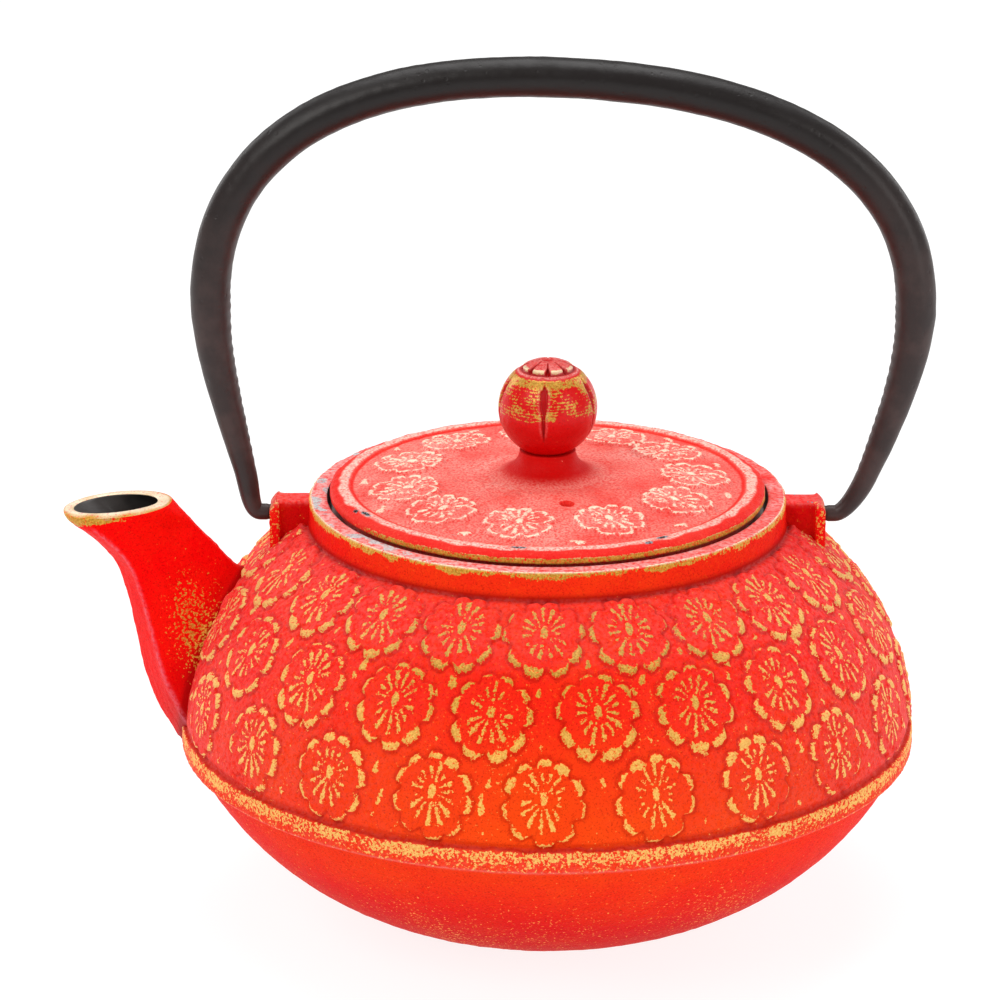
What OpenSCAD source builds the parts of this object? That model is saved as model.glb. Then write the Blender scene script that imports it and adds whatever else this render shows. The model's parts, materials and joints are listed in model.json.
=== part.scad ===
// Cast iron teapot: an enamelled pot with a flange belt, a spout and two handle lugs, a domed lid
// with a ball knob, a forged bail handle and a stainless steel leaf infuser.
// The origin is the centre of the flat base, +Z is up, the spout points along -X, and the handle
// turns about an axis along X.

/* [Pot] */
// Diameter over the belt, the widest line of the pot
belt_d = 156; // [150:0.5:162]
// Diameter of the shoulder where it leaves the belt
body_d = 154.6; // [148:0.2:155]
// Diameter of the flat base
base_d = 62; // [50:1:70]
// Height of the underside of the belt above the base
belt_z = 36; // [33:0.5:40]
// Height of the belt itself
belt_h = 5; // [4:0.5:6]
// Height of the foot of the collar
collar_z = 84.7; // [82:0.1:86]
// Height of the top of the collar
rim_z = 90.1; // [89:0.1:91]
// Outer diameter of the collar
collar_d = 100.6; // [98:0.2:104]
// Thickness of the cast walls
wall = 4; // [3:0.5:5]
// Thickness of the floor
floor_t = 5; // [4:0.5:7]

/* [Mouth] */
// Diameter of the recess that the lid drops into
recess_d = 92.8; // [92.4:0.1:94]
// Depth of that recess, from the top of the collar to its ledge
recess_depth = 3; // [2.5:0.1:3.5]
// Diameter of the opening inside the ledge
mouth_d = 82; // [78:1:84]

/* [Spout] */
// How far the lip of the spout reaches from the pot's axis
spout_reach = 102.3; // [98:0.5:108]
// Height of the lip of the spout
spout_z = 87.8; // [85:0.2:90]
// Thickness of the spout's wall
spout_wall = 2.6; // [2:0.2:3.2]
// Diameter of the port through the pot's wall into the spout
port_d = 14; // [10:1:15]

/* [Lugs and handle] */
// Distance from the pot's axis to the outer face of each lug
lug_x = 58.6; // [57:0.2:60]
// Width of the flange on the end of each lug
flange_w = 8; // [7:0.5:10]
// Width of the web between the flange and the collar
web_w = 5.6; // [5:0.2:6.4]
// Height of the axis that the handle turns about
pivot_z = 85.9; // [85.4:0.1:86.4]
// Diameter of the handle's pins
pin_d = 3.2; // [3:0.1:3.4]
// Thickness of the handle's bar
bar_d = 8.4; // [7:0.2:9.4]
// Height of the bar's centre line above the pivot, at the top of the bow
bow_rise = 94.4; // [90:0.5:105]
// Half the width of the bow at its widest, on the bar's centre line
bow_half_w = 73.5; // [71:0.5:80]

/* [Lid and knob] */
// Diameter of the lid
lid_d = 91.8; // [91:0.1:91.9]
// Height of the crest that runs round near the lid's edge
crest_z = 92.7; // [92.3:0.1:93.1]
// Height of the dome where the pedestal starts
dome_z = 94.9; // [94.5:0.1:96]
// Diameter of the foot of the pedestal
pedestal_d = 25; // [22:0.5:27]
// Diameter of the pedestal's neck
neck_d = 10.8; // [9.6:0.2:12]
// Diameter of the ball knob
knob_d = 20.8; // [19:0.2:22]
// Height of the centre of the ball knob
knob_z = 109.3; // [109:0.1:109.8]
// Diameter of the steam vent
vent_d = 3.2; // [2.6:0.2:4]

/* [Infuser] */
// Outer diameter of the infuser's basket
basket_d = 72; // [66:1:73]
// Depth of the basket below its rim
basket_depth = 52; // [40:1:56]
// Thickness of the infuser's steel
steel_t = 0.6; // [0.5:0.1:0.8]

/* [Hidden] */
$fn = 96;
step = 6;             // degrees between the points of a round stretch of a profile
belt_top = belt_z + belt_h;
belt_inset = 1.7;     // the bowl starts this far inside the belt
belt_round = 0.6;     // rounding of the belt's edges
rim_round = 0.7;      // rounding of the collar's edge
bowl_arc = 66.5;      // radius of the arc of the lower bowl
lap = 0.02;           // clearance on a fit between fixed pieces
pin_gap = 0.05;       // radial clearance of the handle's pins
ledge_z = rim_z - recess_depth;
spare = 1;            // how far a cutter runs past the face it cuts

enamel_red = "#e01820";
forged_black = "#2e2a29";
steel = "#c8c8c6";
dark_steel = "#6a6a6a";

// Points of an arc about [cx, cy] from angle a0 to a1.
function arc(cx, cy, rx, ry, a0, a1, n) =
  [for (i = [0 : n]) let (a = a0 + (a1 - a0) * i / n) [cx + rx * cos(a), cy + ry * sin(a)]];

// ---- Pot ----

// The shoulder is an ellipse about the axis that starts level with the belt's top and reaches the
// collar's foot.
shoulder_rise = (collar_z - belt_top) / sqrt(1 - pow(collar_d / body_d, 2));
function shoulder(inset, r_end) =
  let (rx = body_d / 2 - inset, ry = shoulder_rise - inset, a_end = acos(r_end / rx))
  arc(0, belt_top, rx, ry, 0, a_end, ceil(a_end / step));

// The bowl is an arc of radius bowl_arc through the edge of the base and the belt's underside.
bowl_top_r = belt_d / 2 - belt_inset;
bowl_chord = [bowl_top_r - base_d / 2, belt_z];
bowl_sag = sqrt(pow(bowl_arc, 2) - pow(norm(bowl_chord) / 2, 2)) / norm(bowl_chord);
bowl_c = [base_d / 2, 0] + bowl_chord / 2 + bowl_sag * [-bowl_chord[1], bowl_chord[0]];
function bowl(inset, z_start, z_end) =
  let (
    r = bowl_arc - inset,
    a0 = asin((z_start - bowl_c[1]) / r),
    a1 = asin((z_end - bowl_c[1]) / r)
  )
  arc(bowl_c[0], bowl_c[1], r, r, a0, a1, ceil((a1 - a0) / step));

// The pot's outline on its outside, from the axis at the base to the ledge under the lid.
outside = concat(
  [[0, 0]],
  bowl(0, 0, belt_z),
  [[belt_d / 2 - belt_round, belt_z]],
  [[belt_d / 2, belt_z + belt_round]],
  [[belt_d / 2, belt_top - belt_round]],
  shoulder(0, collar_d / 2),
  [[collar_d / 2, ledge_z]]
);
function reversed(list) = [for (i = [len(list) - 1 : -1 : 0]) list[i]];
inside = concat(
  [[mouth_d / 2, ledge_z]],
  reversed(shoulder(wall, mouth_d / 2)),
  reversed(bowl(wall, floor_t, belt_top - wall / 2)),
  [[0, floor_t]]
);

// The pot as if it were solid, which the spout and the lugs are cut to.
module pot_envelope() {
  rotate_extrude() polygon(concat(outside, [[collar_d / 2, rim_z]], [[0, rim_z]]));
}

port_z = 56;
port_reach = 40;      // how far in from the body's side the port's cutter runs
module pot_body() {
  color(enamel_red)
    difference() {
      rotate_extrude() polygon(concat(outside, inside));
      translate([-body_d / 2 - spare, 0, port_z])
        rotate([0, 90, 0]) cylinder(d = port_d, h = port_reach);
    }
}

// The top of the collar, the ring round the lid. It is cast in one with the pot.
module pot_rim() {
  color(enamel_red)
    rotate_extrude()
      polygon([
        [recess_d / 2, ledge_z],
        [collar_d / 2, ledge_z],
        [collar_d / 2, rim_z - rim_round],
        [collar_d / 2 - rim_round, rim_z],
        [recess_d / 2, rim_z]
      ]);
}

// ---- Sweeps ----

// A skin over rings that all have the same number of points, closed by a face at each end.
module skin(rings) {
  n = len(rings[0]);
  last = len(rings) - 1;
  points = [for (ring = rings) each ring];
  sides = [
    for (i = [0 : last - 1])
      for (j = [0 : n - 1])
        let (k = (j + 1) % n)
        each [
          [i * n + j, (i + 1) * n + j, (i + 1) * n + k],
          [i * n + j, (i + 1) * n + k, i * n + k]
        ]
  ];
  start_face = [for (j = [0 : n - 1]) j];
  end_face = [for (j = [n - 1 : -1 : 0]) last * n + j];
  polyhedron(points, concat([start_face], sides, [end_face]));
}

function bezier(p, t) =
  pow(1 - t, 3) * p[0] + 3 * t * pow(1 - t, 2) * p[1] + 3 * t * t * (1 - t) * p[2] + pow(t, 3) * p[3];

// ---- Spout ----

// The line along the top of the spout and the curve along its underside, both as [x, z].
spout_top = [[-56, 62.4], [-79.3, spout_z + 0.2]];
spout_keel = [[-68, 28.5], [-96.4, 40.1], [-79.4, 75.7], [-spout_reach, spout_z - 1.8]];
// Half widths along the spout, and the shape of its faceted section from its top to its keel.
spout_half_w = [[0, 12.4], [0.35, 11.8], [0.6, 8.6], [0.8, 8], [1, 10.1]];
facets = [[-1, 0.1], [-0.5, 0.68], [0.1, 0.97], [0.62, 0.92], [1, 0.1]];
facets_end = 0.8;     // past this share of its length the spout turns round toward its lip
spout_rings = 18;
spout_sides = 12;

function mix(a, b, k) = a + (b - a) * k;
// One ring of the spout at s from 0, inside the pot, to 1 at the lip.
function spout_ring(s, inset) =
  let (
    top = mix(spout_top[0], spout_top[1], s),
    keel = bezier(spout_keel, s),
    mid = (top + keel) / 2,
    reach = (keel - top) / 2,
    half_u = norm(reach) - inset,
    half_v = lookup(s, spout_half_w) - inset,
    k = min(1, max(0, (s - facets_end) / (1 - facets_end))),
    roundness = k * k * (3 - 2 * k),
    half = [
      for (j = [0 : spout_sides - 1])
        let (
          u = -cos(180 * (j + 0.5) / spout_sides),
          v = mix(lookup(u, facets), sqrt(1 - u * u), roundness)
        )
        [u, v]
    ],
    loop = concat(half, [for (p = reversed(half)) [p[0], -p[1]]])
  )
  [
    for (p = loop)
      let (c = mid + reach / norm(reach) * half_u * p[0])
      [c[0], half_v * p[1], c[1]]
  ];

bore_past = 1.04;     // the channel runs this share of the spout's length, past the lip
module spout() {
  color(enamel_red)
    difference() {
      skin([for (i = [0 : spout_rings]) spout_ring(i / spout_rings, 0)]);
      skin([for (i = [0 : spout_rings]) spout_ring(i / spout_rings * bore_past, spout_wall)]);
      pot_envelope();
    }
}

// ---- Lugs ----

flange_t = 1.6;
lug_top = rim_z - 0.8;
lug_foot = 70;        // below the shoulder under the lug, so that the lug always meets it
bore_depth = 7;

// One lug on the +X side: a web from the collar, a flange on its end and a blind bore for the pin.
module lug() {
  color(enamel_red)
    difference() {
      union() {
        translate([collar_d / 4, -web_w / 2, lug_foot])
          cube([lug_x - flange_t - collar_d / 4, web_w, lug_top - lug_foot]);
        translate([lug_x - flange_t, -flange_w / 2, lug_foot])
          cube([flange_t, flange_w, lug_top - lug_foot]);
      }
      translate([lug_x - bore_depth, 0, pivot_z])
        rotate([0, 90, 0]) cylinder(d = pin_d + 2 * pin_gap, h = bore_depth + spare);
      pot_envelope();
    }
}

module lug_spout_side() {
  mirror([1, 0, 0]) lug();
}

module lug_far_side() {
  lug();
}

// ---- Lid and knob ----

seat_z = ledge_z + steel_t;       // the lid rests on the infuser's rim
lid_edge_z = crest_z - 1.5;
crest_r = lid_d / 2 - 3.7;
crest_drop = 0.5;                 // the dome starts this far under the crest
dome_in = 2.4;                    // and this far inside it
overhang_z = rim_z + 0.5;         // the lid's edge stands clear above the collar
plug_r = lid_d / 2 - 1.6;         // the part of the lid that drops into the recess
plug_z = rim_z - 0.3;
joint_r = 4.6;                    // radius of the flat that the knob stands on
neck_z = knob_z - sqrt(pow(knob_d / 2, 2) - pow(joint_r, 2));
lid_t = 3.6;
skirt_r = basket_d / 2 - steel_t - 0.4;
skirt_t = 2.4;
skirt_depth = 5;
hollow_slope = 3;                 // width of the sloping edge of the hollow under the lid
shank_d = 4;
head_d = 7.6;
head_t = 1.4;
washer_d = 12;
washer_t = 1;
under_z = dome_z - lid_t;
knob_bore = 7;

// Concave flare of the pedestal, from its foot to its neck.
flare = [
  for (i = [0 : 10])
    let (a = 90 * i / 10)
    [
      neck_d / 2 + (pedestal_d - neck_d) / 2 * (1 - sin(a)),
      neck_z - (neck_z - dome_z) * cos(a)
    ]
];

vent_at = [4, -19.7];
module lid() {
  top = concat(
    [[plug_r, seat_z]],
    [[plug_r, plug_z]],
    [[lid_d / 2, overhang_z]],
    arc(crest_r, lid_edge_z, lid_d / 2 - crest_r, crest_z - lid_edge_z, 0, 120, 12),
    [[crest_r - dome_in, crest_z - crest_drop]],
    flare
  );
  underside = [
    [0, neck_z],
    [0, under_z],
    [skirt_r - skirt_t - hollow_slope, under_z],
    [skirt_r - skirt_t, seat_z]
  ];
  color(enamel_red)
    difference() {
      rotate_extrude() polygon(concat(top, underside));
      translate([0, 0, under_z - spare]) cylinder(d = shank_d, h = neck_z - under_z + 2 * spare);
      translate([vent_at[0], vent_at[1], under_z - spare]) cylinder(d = vent_d, h = lid_t + 2 * spare);
    }
}

// The ring under the lid that reaches into the infuser. It is cast in one with the lid.
module lid_skirt() {
  color(enamel_red)
    translate([0, 0, seat_z - skirt_depth])
      difference() {
        cylinder(r = skirt_r, h = skirt_depth);
        translate([0, 0, -spare]) cylinder(r = skirt_r - skirt_t, h = skirt_depth + 2 * spare);
      }
}

slit_w = 1.6;
slit_depth = 0.8;
slit_low = 7.5;                   // reach of the slits below the knob's centre
slit_h = 11.5;
slits = 5;
groove_r = 6.6;
groove_up = 8.2;                  // height of the groove above the knob's centre
groove_w = 1.4;
module knob() {
  color(enamel_red)
    difference() {
      translate([0, 0, knob_z]) sphere(d = knob_d);
      translate([0, 0, neck_z - knob_d / 2]) cylinder(d = knob_d, h = knob_d / 2);
      translate([0, 0, neck_z - spare]) cylinder(d = shank_d, h = knob_bore + spare);
      translate([0, 0, knob_z + groove_up])
        rotate_extrude() translate([groove_r, 0]) circle(d = groove_w, $fn = 24);
      for (i = [0 : slits - 1])
        rotate([0, 0, 360 / slits * i - 90])
          translate([knob_d / 2 - slit_depth, -slit_w / 2, knob_z - slit_low])
            cube([knob_d, slit_w, slit_h]);
    }
}

module knob_rivet() {
  shank_top = neck_z + knob_bore - 0.2;
  head_z = under_z - washer_t - head_t;
  color(dark_steel) {
    translate([0, 0, head_z + head_t / 2])
      cylinder(d = shank_d - 2 * lap, h = shank_top - head_z - head_t / 2);
    translate([0, 0, head_z]) cylinder(d = head_d, h = head_t);
  }
}

module knob_washer() {
  color(steel)
    translate([0, 0, under_z - washer_t])
      difference() {
        cylinder(d = washer_d, h = washer_t);
        translate([0, 0, -spare]) cylinder(d = shank_d, h = washer_t + 2 * spare);
      }
}

// ---- Handle ----

foot_x = lug_x + 0.4;             // the feet stand just clear of the flanges
foot_d = 3.5;                     // diameter of each foot, between its pin and its elbow
elbow_d = 4.2;
// Diameter of the bar as a share of bar_d, against the share of the way from either foot.
taper = [[0, 0.44], [0.05, 0.56], [0.12, 0.74], [0.24, 1], [0.5, 1]];
bar_sides = 16;
rings_a_curve = 14;

// The bow's curves as shares of its half width and of its rise, from the spout's side to the far
// side. It is forged by hand, and leans a little away from the spout.
bow = [
  [-0.841, 0], [-0.882, 0.17], [-0.96, 0.34], [-0.958, 0.50],
  [-0.953, 0.775], [-0.70, 1], [-0.068, 1],
  [0.62, 1], [1.048, 0.816], [1.042, 0.477],
  [1.042, 0.34], [0.965, 0.181], [0.868, 0]
];
bow_mm = [for (p = bow) [p[0] * bow_half_w, pivot_z + p[1] * bow_rise]];
path = concat(
  [bow_mm[0]],
  [
    for (k = [0 : 3 : 9])
      let (curve = [bow_mm[k], bow_mm[k + 1], bow_mm[k + 2], bow_mm[k + 3]])
      for (i = [1 : rings_a_curve]) bezier(curve, i / rings_a_curve)
  ]
);

// A ring square to the path at its i-th point. The bar thins toward both feet.
function bar_ring(i) =
  let (
    last = len(path) - 1,
    ahead = path[min(i + 1, last)] - path[max(i - 1, 0)],
    level = ahead / norm(ahead),
    r = bar_d / 2 * lookup(min(i, last - i) / last, taper)
  )
  [
    for (j = [0 : bar_sides - 1])
      let (a = 360 * j / bar_sides, p = path[i] + r * cos(a) * [level[1], -level[0]])
      [p[0], r * sin(a), p[1]]
  ];

// Foot of the handle from its elbow at x inward to its pin, on the side that x lies on.
module foot(x) {
  side = sign(x);
  pin_in = 5.6;                   // reach of the pin past the foot
  translate([x, 0, pivot_z]) {
    sphere(d = elbow_d);
    rotate([0, -90 * side, 0]) cylinder(d = foot_d, h = abs(x) - foot_x);
    rotate([0, -90 * side, 0]) cylinder(d = pin_d, h = abs(x) - foot_x + pin_in);
  }
}

module handle() {
  color(forged_black)
    union() {
      skin([for (i = [0 : len(path) - 1]) bar_ring(i)]);
      foot(path[0][0]);
      foot(path[len(path) - 1][0]);
    }
}

// ---- Infuser ----

basket_z = ledge_z - basket_depth;
collar_h = 6;                     // height of the collar between the rim and the mesh
module infuser_rim() {
  flange_out = recess_d / 2 - 0.5;
  color(steel)
    rotate_extrude()
      polygon([
        [basket_d / 2 - steel_t, ledge_z - collar_h],
        [basket_d / 2, ledge_z - collar_h],
        [basket_d / 2, ledge_z],
        [flange_out, ledge_z],
        [flange_out, ledge_z + steel_t],
        [basket_d / 2 - steel_t, ledge_z + steel_t]
      ]);
}

module infuser_wall() {
  color(steel)
    translate([0, 0, basket_z])
      difference() {
        cylinder(d = basket_d, h = basket_depth - collar_h);
        translate([0, 0, -spare]) cylinder(d = basket_d - 2 * steel_t, h = basket_depth);
      }
}

module infuser_floor() {
  color(steel)
    translate([0, 0, basket_z]) cylinder(d = basket_d - 2 * steel_t - 2 * lap, h = steel_t);
}

pot_body();
pot_rim();
spout();
lug_spout_side();
lug_far_side();
lid();
lid_skirt();
knob();
knob_rivet();
knob_washer();
handle();
infuser_rim();
infuser_wall();
infuser_floor();
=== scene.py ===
import json
import math

import bpy
import numpy as np
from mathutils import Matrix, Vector


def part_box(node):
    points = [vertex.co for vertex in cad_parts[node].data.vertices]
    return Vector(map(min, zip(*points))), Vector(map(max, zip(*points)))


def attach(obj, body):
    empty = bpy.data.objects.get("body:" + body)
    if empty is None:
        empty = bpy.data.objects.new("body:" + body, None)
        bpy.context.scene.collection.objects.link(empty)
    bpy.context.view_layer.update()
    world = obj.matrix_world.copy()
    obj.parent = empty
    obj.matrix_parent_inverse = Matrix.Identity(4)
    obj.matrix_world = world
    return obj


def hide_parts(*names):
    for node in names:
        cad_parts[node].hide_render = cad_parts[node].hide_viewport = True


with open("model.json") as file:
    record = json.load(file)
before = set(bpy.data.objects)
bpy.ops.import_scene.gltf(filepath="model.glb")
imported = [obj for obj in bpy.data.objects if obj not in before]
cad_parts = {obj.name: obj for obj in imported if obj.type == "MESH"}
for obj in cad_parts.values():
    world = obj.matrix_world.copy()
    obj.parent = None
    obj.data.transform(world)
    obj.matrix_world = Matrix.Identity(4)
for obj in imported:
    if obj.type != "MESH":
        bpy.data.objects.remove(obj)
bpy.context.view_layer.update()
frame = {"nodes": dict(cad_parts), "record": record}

MM = 0.001
TURN = 2 * math.pi


# ---- Sizes, from the frame and from the part's own parameters ----

def corners(node):
    """The lowest and the highest corner of a node, in mm."""
    return [np.array(corner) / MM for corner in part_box(node)]


pot_high = corners("pot_body")[1]
knob_high = corners("knob")[1]
rim_low, rim_high = corners("pot_rim")
lid_low, lid_high = corners("lid")
skirt_low, skirt_high = corners("lid_skirt")
lug_low, lug_high = corners("lug_far_side")
handle_low, handle_high = corners("handle")
basket_low, basket_high = corners("infuser_wall")
basket_rim_low, basket_rim_high = corners("infuser_rim")
swing = next(j for j in frame["record"]["behaviour"]["joints"] if j["name"] == "handle_swing")

BELT_R = pot_high[0]
BODY_R = BELT_R - 0.7
BASE_R = 31.0
BELT_Z = 36.0
BELT_TOP = 41.0
COLLAR_Z = 84.7
LEDGE_Z = rim_low[2]
RIM_Z = rim_high[2]
COLLAR_R = rim_high[0]
RECESS_R = COLLAR_R - 3.9
MOUTH_R = RECESS_R - 5.4
WALL = 4.0
FLOOR_T = 5.0
BOWL_ARC = 66.5
BELT_INSET = 1.7
PIVOT_Z = swing["pos_m"][2] / MM


# ---- Numbers and shapes ----

WAVES = 20


def clip01(x):
    return np.clip(x, 0, 1)


def smooth(x, low, high):
    """0 below low and 1 above high, with a smooth step between."""
    t = clip01((x - low) / (high - low))
    return t * t * (3 - 2 * t)


def window(x, a, b, c, d):
    """Rises from 0 to 1 between a and b, and falls back between c and d."""
    return smooth(x, a, b) * (1 - smooth(x, c, d))


def hump(x, width):
    return np.exp(-(x / width) ** 2)


def unit(v):
    return v / np.linalg.norm(v, axis=-1, keepdims=True)


def run_length(points):
    """Distance from the first of a row of points to each of them."""
    return np.concatenate([[0], np.cumsum(np.linalg.norm(np.diff(points, axis=0), axis=1))])


def wobble(points, size, seed):
    """Smooth noise of about -1 to 1 over an array of points, with features of the given size."""
    dice = np.random.default_rng(seed)
    total = np.zeros(points.shape[:-1])
    for _ in range(WAVES):
        way = unit(dice.normal(size=3))
        pitch = size * dice.uniform(0.7, 1.5)
        total += np.cos(points @ way * (TURN / pitch) + dice.uniform(0, TURN))
    return total / math.sqrt(WAVES / 2) * 0.7


def wobbles(points, *layers):
    """A sum of wobbles, each an amount, a size and a seed."""
    return sum(amount * wobble(points, size, seed) for amount, size, seed in layers)


def bezier(p, t):
    p = np.asarray(p, float)
    t = np.asarray(t, float)[..., None]
    return (1 - t) ** 3 * p[0] + 3 * t * (1 - t) ** 2 * p[1] + 3 * t * t * (1 - t) * p[2] + t**3 * p[3]


def arc_points(cr, cz, radius, a0, a1, n):
    """Rows of (r, z) on an arc, in n even steps."""
    a = np.radians(np.linspace(a0, a1, n + 1))
    return np.stack([cr + radius * np.cos(a), cz + radius * np.sin(a)], 1)


def offsets(r, z, *steps):
    """A list of [r, z] rows, each a step away from one corner."""
    return [[r + dr, z + dz] for dr, dz in steps]


def columns(n, start=0.0):
    """Azimuths of n even columns."""
    return start + np.arange(n) * 360 / n


def revolve(profile, azimuth, lift_r=0.0, lift_z=0.0):
    """Rings of points from (r, z) rows, each moved by its lifts."""
    a = np.radians(azimuth)
    profile = np.asarray(profile, float)
    r, z = profile[:, 0, None] + lift_r, profile[:, 1, None] + lift_z
    return np.stack([r * np.cos(a), r * np.sin(a), z + 0 * a], -1)


def spoutward(azimuth):
    """1 on the spout's side, -1 on the far side."""
    return -np.cos(np.radians(azimuth))


class Skin:
    """Points, faces, per-point marks and per-face material numbers of one closed mesh."""

    # of these marks, the shade mark is painted shade, the warm mark is warm tone and also a painted warm glow,
    # and the wear mark is wear and also painted sheen, highlights and reflections
    MARKS = ("gold", "worn", "dust", "deep", "warm", "bare")

    def __init__(self):
        self.points, self.quads, self.tris, self.count, self.slot = [], [], [], 0, 0
        self.paint = {m: [] for m in self.MARKS}

    def add(self, points, **marks):
        """Adds an array of points and returns their numbers in the same layout."""
        points = np.asarray(points, float)
        shape = points.shape[:-1]
        ids = self.count + np.arange(math.prod(shape)).reshape(shape)
        self.count += ids.size
        self.points.append(points.reshape(-1, 3))
        for m in self.MARKS:
            self.paint[m].append(np.broadcast_to(clip01(marks.get(m, 0.0)), shape).reshape(-1))
        return ids

    def band(self, a, b):
        """Quads between two closed rings of the same length."""
        self.quads.append((np.stack([a, np.roll(a, -1), np.roll(b, -1), b], 1), self.slot))

    def rings(self, points, **marks):
        """A grid of closed rings, each joined to the next."""
        ids = self.add(points, **marks)
        for a, b in zip(ids[:-1], ids[1:]):
            self.band(a, b)
        return ids

    def stitch(self, fine, coarse, flip=False):
        """Joins a ring to one with every m-th of its points, which comes before it if flip is true."""
        m = len(fine) // len(coarse)
        after, following = np.roll(fine, -1), np.roll(coarse, -1)
        for k in range(m):
            fans = [(fine[k::m], after[k::m], coarse if k < m / 2 else following)]
            if k + 1 == m // 2:
                fans.append((after[k::m], following, coarse))
            for fan in fans:
                self.tris.append((np.stack(fan[::-1] if flip else fan, 1), self.slot))

    def cap(self, ring, point, first=False, **marks):
        """A fan from a ring to a point, which comes before it if first is true."""
        middle = np.full(len(ring), self.add(np.asarray(point, float)[None], **marks)[0])
        fan = (ring, np.roll(ring, -1), middle)
        self.tris.append((np.stack(fan[::-1] if first else fan, 1), self.slot))

    def volume(self):
        points = np.concatenate(self.points)
        total = 0.0
        for f, _ in self.quads + self.tris:
            for k in range(1, f.shape[1] - 1):
                a, b, c = points[f[:, 0]], points[f[:, k]], points[f[:, k + 1]]
                total += np.einsum("ij,ij->i", a, np.cross(b, c)).sum() / 6
        return total

    def object(self, name, materials, smooth_shade=True):
        faces = self.quads + self.tris
        if self.volume() < 0:
            faces = [(f[:, ::-1], s) for f, s in faces]
        loops = np.concatenate([f.reshape(-1) for f, _ in faces])
        sizes = np.concatenate([np.full(len(f), f.shape[1]) for f, _ in faces])
        slots = np.concatenate([np.full(len(f), s) for f, s in faces])
        mesh = bpy.data.meshes.new(name)
        for part, count, key, values, kind in (
                (mesh.vertices, self.count, "co", np.concatenate(self.points).reshape(-1) * MM, np.float32),
                (mesh.loops, len(loops), "vertex_index", loops, np.int32),
                (mesh.polygons, len(sizes), "loop_start", np.cumsum(sizes) - sizes, np.int32)):
            part.add(count)
            part.foreach_set(key, values.astype(kind))
        mesh.polygons.foreach_set("material_index", slots.astype(np.int32))
        mesh.polygons.foreach_set("use_smooth", np.full(len(sizes), smooth_shade))
        mesh.update(calc_edges=True)
        for m in self.MARKS:
            values = np.concatenate(self.paint[m]).astype(np.float32)
            mesh.attributes.new(m, "FLOAT", "POINT").data.foreach_set("value", values)
        for material in materials:
            mesh.materials.append(material)
        return in_scene(name, mesh)


def in_scene(name, data):
    thing = bpy.data.objects.new(name, data)
    bpy.context.scene.collection.objects.link(thing)
    return thing


def cut(piece, cutter):
    """Takes the cutter out of a piece and removes it."""
    tool = piece.modifiers.new("cut", "BOOLEAN")
    tool.operation = "DIFFERENCE"
    tool.solver = "MANIFOLD"
    tool.object = cutter
    graph = bpy.context.evaluated_depsgraph_get()
    made = bpy.data.meshes.new_from_object(piece.evaluated_get(graph))
    piece.modifiers.clear()
    old = piece.data
    piece.data = made
    bpy.data.meshes.remove(old)
    bpy.data.objects.remove(cutter)
    return piece


def rod(start, end, radius, sides, material):
    """A closed round rod between two points, for cutting."""
    start, end = np.asarray(start, float), np.asarray(end, float)
    way = unit(end - start)
    side = unit(np.cross(way, [0, 0, 1.0] if abs(way[2]) < 0.9 else [1.0, 0, 0]))
    a = np.radians(columns(sides))[:, None]
    loop = radius * (np.cos(a) * side + np.sin(a) * np.cross(way, side))
    skin = Skin()
    ids = skin.rings(np.stack([start + loop, end + loop]))
    skin.cap(ids[0], start, first=True)
    skin.cap(ids[1], end)
    return skin.object("cutter", [material])


def place(piece, body, slot, *nodes):
    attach(piece, body)
    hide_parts(*nodes)


# ---- Materials ----

class Finish:
    """Builds one node material."""

    def __init__(self, name):
        self.material = bpy.data.materials.new(name)
        self.material.use_nodes = True
        self.tree = self.material.node_tree
        self.tree.nodes.clear()
        self.shader = self.node("BsdfPrincipled")
        self.node("OutputMaterial", self.shader.outputs[0])
        self.place = self.node("TexCoord").outputs["Object"]

    def set(self, node, key, value):
        socket = node.inputs[key]
        if isinstance(value, bpy.types.NodeSocket):
            self.tree.links.new(value, socket)
        elif isinstance(value, tuple) and socket.type == "RGBA":
            socket.default_value = (*value, 1.0)
        else:
            socket.default_value = value

    def node(self, kind, *inputs, **named):
        """Adds a node and fills its sockets, by number and by name."""
        node = self.tree.nodes.new("ShaderNode" + kind)
        for key, value in (*enumerate(inputs), *named.items()):
            if value is not None:
                self.set(node, key, value)
        return node

    def noise(self, size, detail=2.0, rough=0.5, stretch=None):
        """Noise from 0 to 1 with features of the given size in mm."""
        where = self.node("Mapping", Vector=self.place, Scale=stretch).outputs[0] if stretch else self.place
        return self.node("TexNoise", Vector=where, Scale=1 / (size * MM), Detail=detail,
                         Roughness=rough).outputs["Fac"]

    def cells(self, size):
        """Distance to the nearest of many scattered points, with cells of the given size in mm."""
        return self.node("TexVoronoi", Vector=self.place, Scale=1 / (size * MM)).outputs["Distance"]

    def along(self, axis):
        """X, Y or Z in m."""
        return self.node("SeparateXYZ", self.place).outputs[axis]

    def mark(self, name):
        node = self.node("Attribute")
        node.attribute_name = name
        return node.outputs["Fac"]

    def math(self, operation, *values):
        node = self.node("Math", *values)
        node.operation = operation
        return node.outputs[0]

    def plus(self, a, b):
        return self.math("ADD", a, b)

    def times(self, a, b):
        return self.math("MULTIPLY", a, b)

    def span(self, value, low, high, to_low=0.0, to_high=1.0, soft=True):
        node = self.node("MapRange", value, low, high, to_low, to_high)
        node.interpolation_type = "SMOOTHSTEP" if soft else "LINEAR"
        return node.outputs[0]

    def mix(self, share, a, b):
        node = self.node("Mix")
        node.data_type = "RGBA"
        for key, value in ((0, share), (6, a), (7, b)):
            self.set(node, key, value)
        return node.outputs[2]

    def bump(self, height, distance, strength, under=None):
        return self.node("Bump", Height=height, Distance=distance * MM, Strength=strength,
                         Normal=under).outputs[0]

    def use(self, **values):
        for key, value in values.items():
            self.set(self.shader, key.replace("_", " "), value)
        return self.material


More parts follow.
